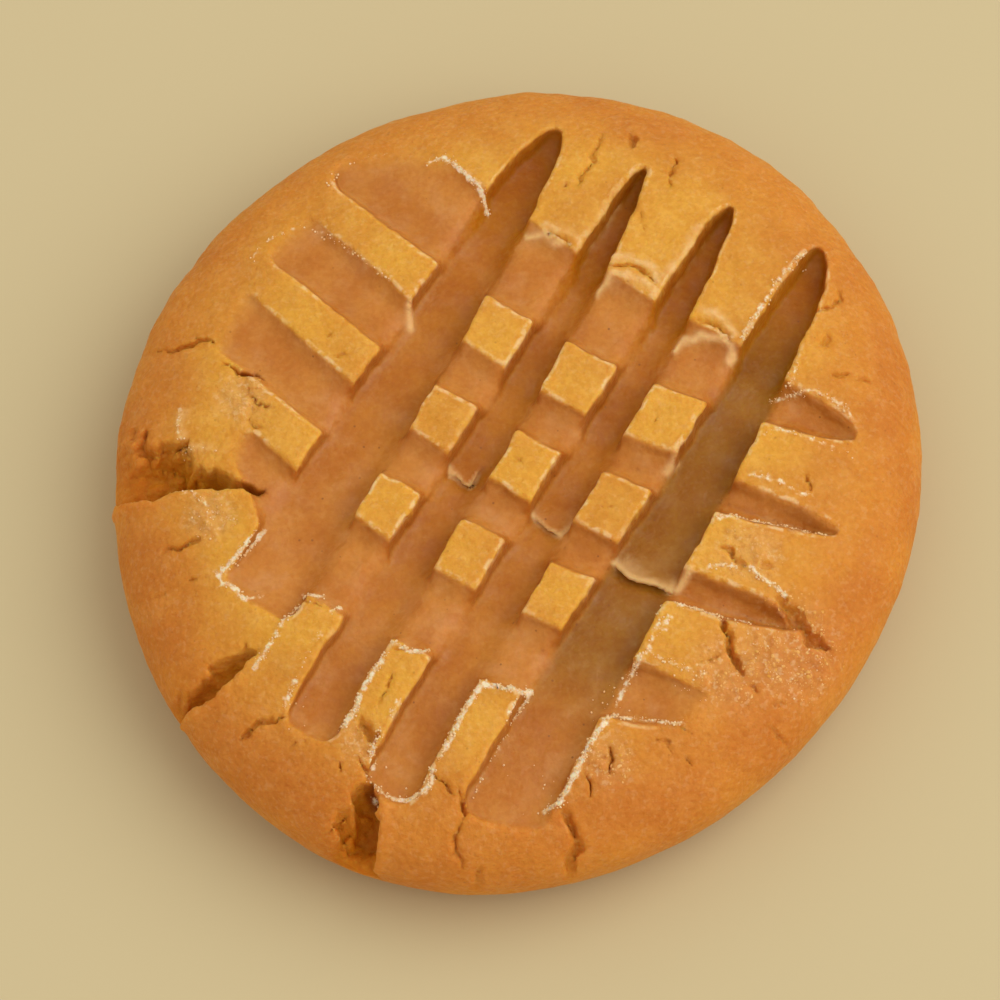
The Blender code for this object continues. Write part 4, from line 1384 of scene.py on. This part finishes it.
class Nodes:
    """Short calls for the nodes of one material. Each call gives the new node's output."""

    def __init__(self, material):
        material.use_nodes = True
        self.tree = material.node_tree
        self.shader = self.tree.nodes["Principled BSDF"]
        self.place = self.tree.nodes.new("ShaderNodeTexCoord").outputs["Object"]

    def set(self, socket, value):
        """Gives a socket a number or a colour, or links it to another node's output."""
        if isinstance(value, bpy.types.NodeSocket):
            self.tree.links.new(value, socket)
        else:
            socket.default_value = value

    def node(self, kind, inputs, output, **settings):
        node = self.tree.nodes.new(kind)
        for key, value in settings.items():
            setattr(node, key, value)
        for key, value in inputs.items():
            self.set(node.inputs[key], value)
        return node.outputs[output]

    def finish(self, **inputs):
        """Sets the shader's inputs; an underscore in a name stands for a space."""
        for name, value in inputs.items():
            self.set(self.shader.inputs[name.replace("_", " ")], value)

    def attribute(self, name):
        return self.node("ShaderNodeAttribute", {}, "Fac", attribute_name=name)

    def noise(self, size, detail, seed):
        """Noise between 0 and 1 that changes over `size` millimetres."""
        shift = {0: self.place, 1: (NOISE_SHIFT * seed, 0.0, 0.0)}
        place = self.node("ShaderNodeVectorMath", shift, "Vector", operation="ADD")
        inputs = {"Vector": place, "Scale": 1.0 / (size * MM), "Detail": detail}
        return self.node("ShaderNodeTexNoise", inputs, "Fac")

    def ramp(self, value, low, high, to_low=0.0, to_high=1.0):
        inputs = {"Value": value, "From Min": low, "From Max": high, "To Min": to_low, "To Max": to_high}
        return self.node("ShaderNodeMapRange", inputs, "Result", interpolation_type="SMOOTHSTEP")

    def pattern(self, pattern):
        return self.ramp(self.noise(*pattern[:3]), *pattern[3:])

    def math(self, operation, first, second):
        return self.node("ShaderNodeMath", {0: first, 1: second}, "Value", operation=operation)

    def times(self, first, second):
        return self.math("MULTIPLY", first, second)

    def plus(self, first, second):
        return self.math("ADD", first, second)

    def mix(self, factor, first, second, **settings):
        inputs = {0: factor, 6: first, 7: second}
        return self.node("ShaderNodeMix", inputs, 2, data_type="RGBA", **settings)

    def shade(self, factor, colour, by):
        """The colour multiplied by another one, as much as the factor says."""
        return self.mix(factor, colour, by, blend_type="MULTIPLY")


def raw_colour(nodes):
    """Of the dough that the fork hasn't touched."""
    raw = nodes.mix(nodes.pattern(PATCHES), RAW_ORANGE, RAW_YELLOW)
    raw = nodes.mix(nodes.pattern(MELLOW_PATCHES), raw, RAW_MELLOW)
    raw = nodes.mix(nodes.times(nodes.attribute("crumbly"), CRUMBLY_SHARE), raw, CRUMBLY_PINK)
    return nodes.shade(nodes.times(nodes.attribute("flank"), FLANK_SHARE), raw, FLANK_TINT)


def floor_colour(nodes, depth):
    """Of the grooves' floors and walls, with painted shade in their depths, at the tips, on the walls and
    on the last groove's floor, and a painted pink sheen.
    """
    # deeper floors and the second press's tips get the darker colour: partly painted shade
    deep = nodes.math("MAXIMUM", nodes.ramp(depth, *FLOOR_SHADE_DEPTHS), nodes.attribute("tip_shade"))
    floor = nodes.mix(deep, FLOOR_SHALLOW, FLOOR_DEEP_SHADED)
    floor = nodes.shade(nodes.pattern(STAINS), floor, STAIN_TINT)
    # painted sheen: pinkish patches, fewer on the deep floors
    sheen_pink = nodes.times(nodes.pattern(SHEEN_PINK_PATCHES), nodes.math("SUBTRACT", 1.0, deep))
    floor = nodes.mix(sheen_pink, floor, FLOOR_SHEEN_PINK)
    # painted shade on the steep walls
    floor = nodes.shade(nodes.attribute("wall"), floor, WALL_SHADE_TINT)
    # painted shade on the last groove's floor
    return nodes.shade(nodes.attribute("last_groove_shade"), floor, LAST_GROOVE_SHADE_TINT)


def add_spots(nodes, colour, pressed):
    """The colour with fine grain, brown specks, and light and dark spots: painted glints and painted shade
    of small pits.
    """
    fine = nodes.plus(nodes.pattern(FINE_SPOTS), nodes.noise(*SHADE_NOISE))
    colour = nodes.shade(nodes.times(fine, FINE_SHARE), colour, GRAIN_TINT)
    cells = {"Vector": nodes.place, "Scale": 1.0 / (SPECK_SPACING * MM)}
    near = nodes.node("ShaderNodeTexVoronoi", cells, "Distance")
    chosen = near.node.outputs["Color"]
    speck = nodes.times(nodes.ramp(near, *SPECK_RADII), nodes.ramp(chosen, *SPECK_CHOICE))
    everywhere, more = SPECK_SHARES
    speck = nodes.times(speck, nodes.plus(everywhere, nodes.times(pressed, more)))
    colour = nodes.mix(speck, colour, SPECK_BROWN)
    everywhere, more = GLINT_AND_PIT_SHARES
    glint_and_pit = nodes.plus(everywhere, nodes.times(nodes.attribute("crumbly"), more))
    glint_and_pit = nodes.times(glint_and_pit, nodes.ramp(pressed, 0.0, 1.0, 1.0, GLINT_AND_PIT_PRESSED))
    # painted glints
    light = nodes.times(nodes.pattern(GLINT_SPOTS), glint_and_pit)
    colour = nodes.mix(nodes.times(light, GLINT_SPOT_SHARE), colour, RIM_CREAM)
    # painted shade of small pits
    dark = nodes.times(nodes.pattern(PIT_SHADE_SPOTS), glint_and_pit)
    return nodes.shade(nodes.times(dark, PIT_SHADE_SHARE), colour, PIT_SHADE_TINT)


def add_edges(nodes, colour, depth):
    """The colour with light rims along the grooves and light lips on the folds and the ridges, each partly
    a painted highlight on a raised edge and partly pale dough.
    """
    # the rims are partly painted highlight along the edges, partly their pale dough
    from_edge = nodes.math("SUBTRACT", nodes.attribute("edge"), RIM_OFFSET)
    from_edge = nodes.math("ABSOLUTE", from_edge, 0.0)
    rim = nodes.times(nodes.ramp(from_edge, RIM_HALF, RIM_MIDDLE), nodes.ramp(depth, *RIM_DEPTHS))
    rim = nodes.times(rim, nodes.attribute("rim_highlight"))
    rim = nodes.times(rim, nodes.pattern(RIM_BREAKS))
    rim = nodes.times(rim, nodes.pattern(RIM_PATCHES))
    colour = nodes.mix(nodes.times(rim, RIM_SHARE), colour, RIM_CREAM)
    # light lips: partly painted highlight, partly pale dough
    return nodes.mix(nodes.attribute("lip"), colour, LIP_HIGHLIGHT_CREAM)


def add_crust(nodes, colour):
    """The colour with the white grains of dried dough, which lie in broken lines; their white is partly a
    painted highlight.
    """
    crust_and_glint = nodes.attribute("crust_and_glint")
    broken = nodes.math("SUBTRACT", nodes.noise(*CRUST_NOISE), CRUST_MIDDLE)
    grains = nodes.plus(crust_and_glint, nodes.times(broken, CRUST_BREAKS))
    grains = nodes.times(nodes.ramp(grains, *CRUST_SPAN), nodes.ramp(crust_and_glint, *CRUST_END))
    crust = nodes.mix(nodes.ramp(grains, *CRUST_WHITENESS), RIM_CREAM, CRUST_WHITE_GLINT)
    return nodes.mix(nodes.times(grains, CRUST_COVER), colour, crust)


def dough_bump(nodes, pressed):
    """Fine grain, weaker where the fork has pressed."""
    grain = nodes.times(nodes.noise(*BUMP_NOISE), nodes.ramp(pressed, 0.0, 1.0, 1.0, BUMP_PRESSED))
    inputs = {"Height": grain, "Strength": BUMP_STRENGTH, "Distance": BUMP_HEIGHT * MM}
    return nodes.node("ShaderNodeBump", inputs, "Normal")


def dough_material():
    material = bpy.data.materials.new("baked_dough")
    nodes = Nodes(material)
    pressed = nodes.attribute("pressed")
    depth = nodes.attribute("depth")
    colour = nodes.mix(pressed, raw_colour(nodes), floor_colour(nodes, depth))
    colour = add_spots(nodes, colour, pressed)
    crack = nodes.mix(nodes.ramp(depth, *DEEP_CRACK), CRACK_TINT, CRACK_DEEP)
    colour = nodes.shade(nodes.attribute("cracked"), colour, crack)
    colour = add_crust(nodes, add_edges(nodes, colour, depth))
    roughness = nodes.mix(pressed, RAW_ROUGHNESS, PRESSED_ROUGHNESS)
    nodes.finish(
        Base_Color=colour,
        Roughness=nodes.plus(roughness, nodes.pattern(GLOSS_PATCHES)),
        Normal=dough_bump(nodes, pressed),
        Specular_IOR_Level=nodes.plus(DOUGH_SPECULAR, nodes.times(pressed, nodes.pattern(SHEEN_PATCHES))),
        Subsurface_Weight=SUBSURFACE,
        Subsurface_Radius=SUBSURFACE_REACH,
        Subsurface_Scale=SUBSURFACE_SCALE * MM,
    )
    return material


def crumb_material():
    material = bpy.data.materials.new("baked_crumbs")
    nodes = Nodes(material)
    raw = nodes.mix(nodes.pattern(CRUMB_PATCHES), RAW_ORANGE, CRUMBLY_PINK)
    raw = nodes.shade(nodes.times(nodes.pattern(CRUMB_FINE_SPOTS), CRUMB_FINE_SHARE), raw, GRAIN_TINT)
    raw = nodes.mix(nodes.times(nodes.pattern(CRUMB_LIGHT_SPOTS), CRUMB_LIGHT_SHARE), raw, RIM_CREAM)
    nodes.finish(Base_Color=raw, Roughness=CRUMB_ROUGHNESS, Specular_IOR_Level=DOUGH_SPECULAR)
    return material


def grain_material():
    material = bpy.data.materials.new("dry_grains")
    nodes = Nodes(material)
    colour = nodes.mix(nodes.pattern(GRAIN_PATCHES), GRAIN_CREAM, RIM_CREAM)
    nodes.finish(Base_Color=colour, Roughness=GRAIN_ROUGHNESS)
    return material


def floor_material():
    material = bpy.data.materials.new("pale_floor")
    material.use_nodes = True
    shader = material.node_tree.nodes["Principled BSDF"]
    shader.inputs["Base Color"].default_value = FLOOR_COLOUR
    shader.inputs["Roughness"].default_value = FLOOR_ROUGHNESS
    return material


# Stage

def make_floor():
    corners = [(FLOOR_HALF * x, FLOOR_HALF * y, 0) for x, y in ((-1, -1), (1, -1), (1, 1), (-1, 1))]
    mesh = bpy.data.meshes.new("floor")
    mesh.from_pydata(corners, [], [(0, 1, 2, 3)])
    mesh.materials.append(floor_material())
    floor = new_object("floor", mesh)


def aim(obj, place, target):
    obj.location = place
    obj.rotation_euler = (Vector(target) - obj.location).to_track_quat("-Z", "Y").to_euler()


def make_camera():
    data = bpy.data.cameras.new("camera")
    data.lens = LENS
    data.sensor_width = SENSOR
    camera = new_object("camera", data)
    aim(camera, CAMERA_PLACE, CAMERA_TARGET)
    bpy.context.scene.camera = camera


def make_lights():
    data = bpy.data.lights.new("key", "AREA")
    data.shape = "DISK"
    data.size = KEY_SIZE
    data.energy = KEY_POWER
    aim(new_object("key", data), KEY_PLACE, (0.0, 0.0, 0.0))
    world = bpy.data.worlds.new("studio")
    world.use_nodes = True
    sky = world.node_tree.nodes["Background"]
    sky.inputs["Color"].default_value = SKY_COLOUR
    sky.inputs["Strength"].default_value = SKY_STRENGTH
    bpy.context.scene.world = world
    bpy.context.scene.view_settings.view_transform = "Standard"


make_camera()
dough = make_dough()
grains = make_grains(dough.data)
crumbs = make_crumbs(dough.data)
for piece, material in ((dough, dough_material()), (crumbs, crumb_material()), (grains, grain_material())):
    piece.data.materials.clear()
    piece.data.materials.append(material)
    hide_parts("cookie")
    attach(piece, "root")
make_floor()
make_lights()
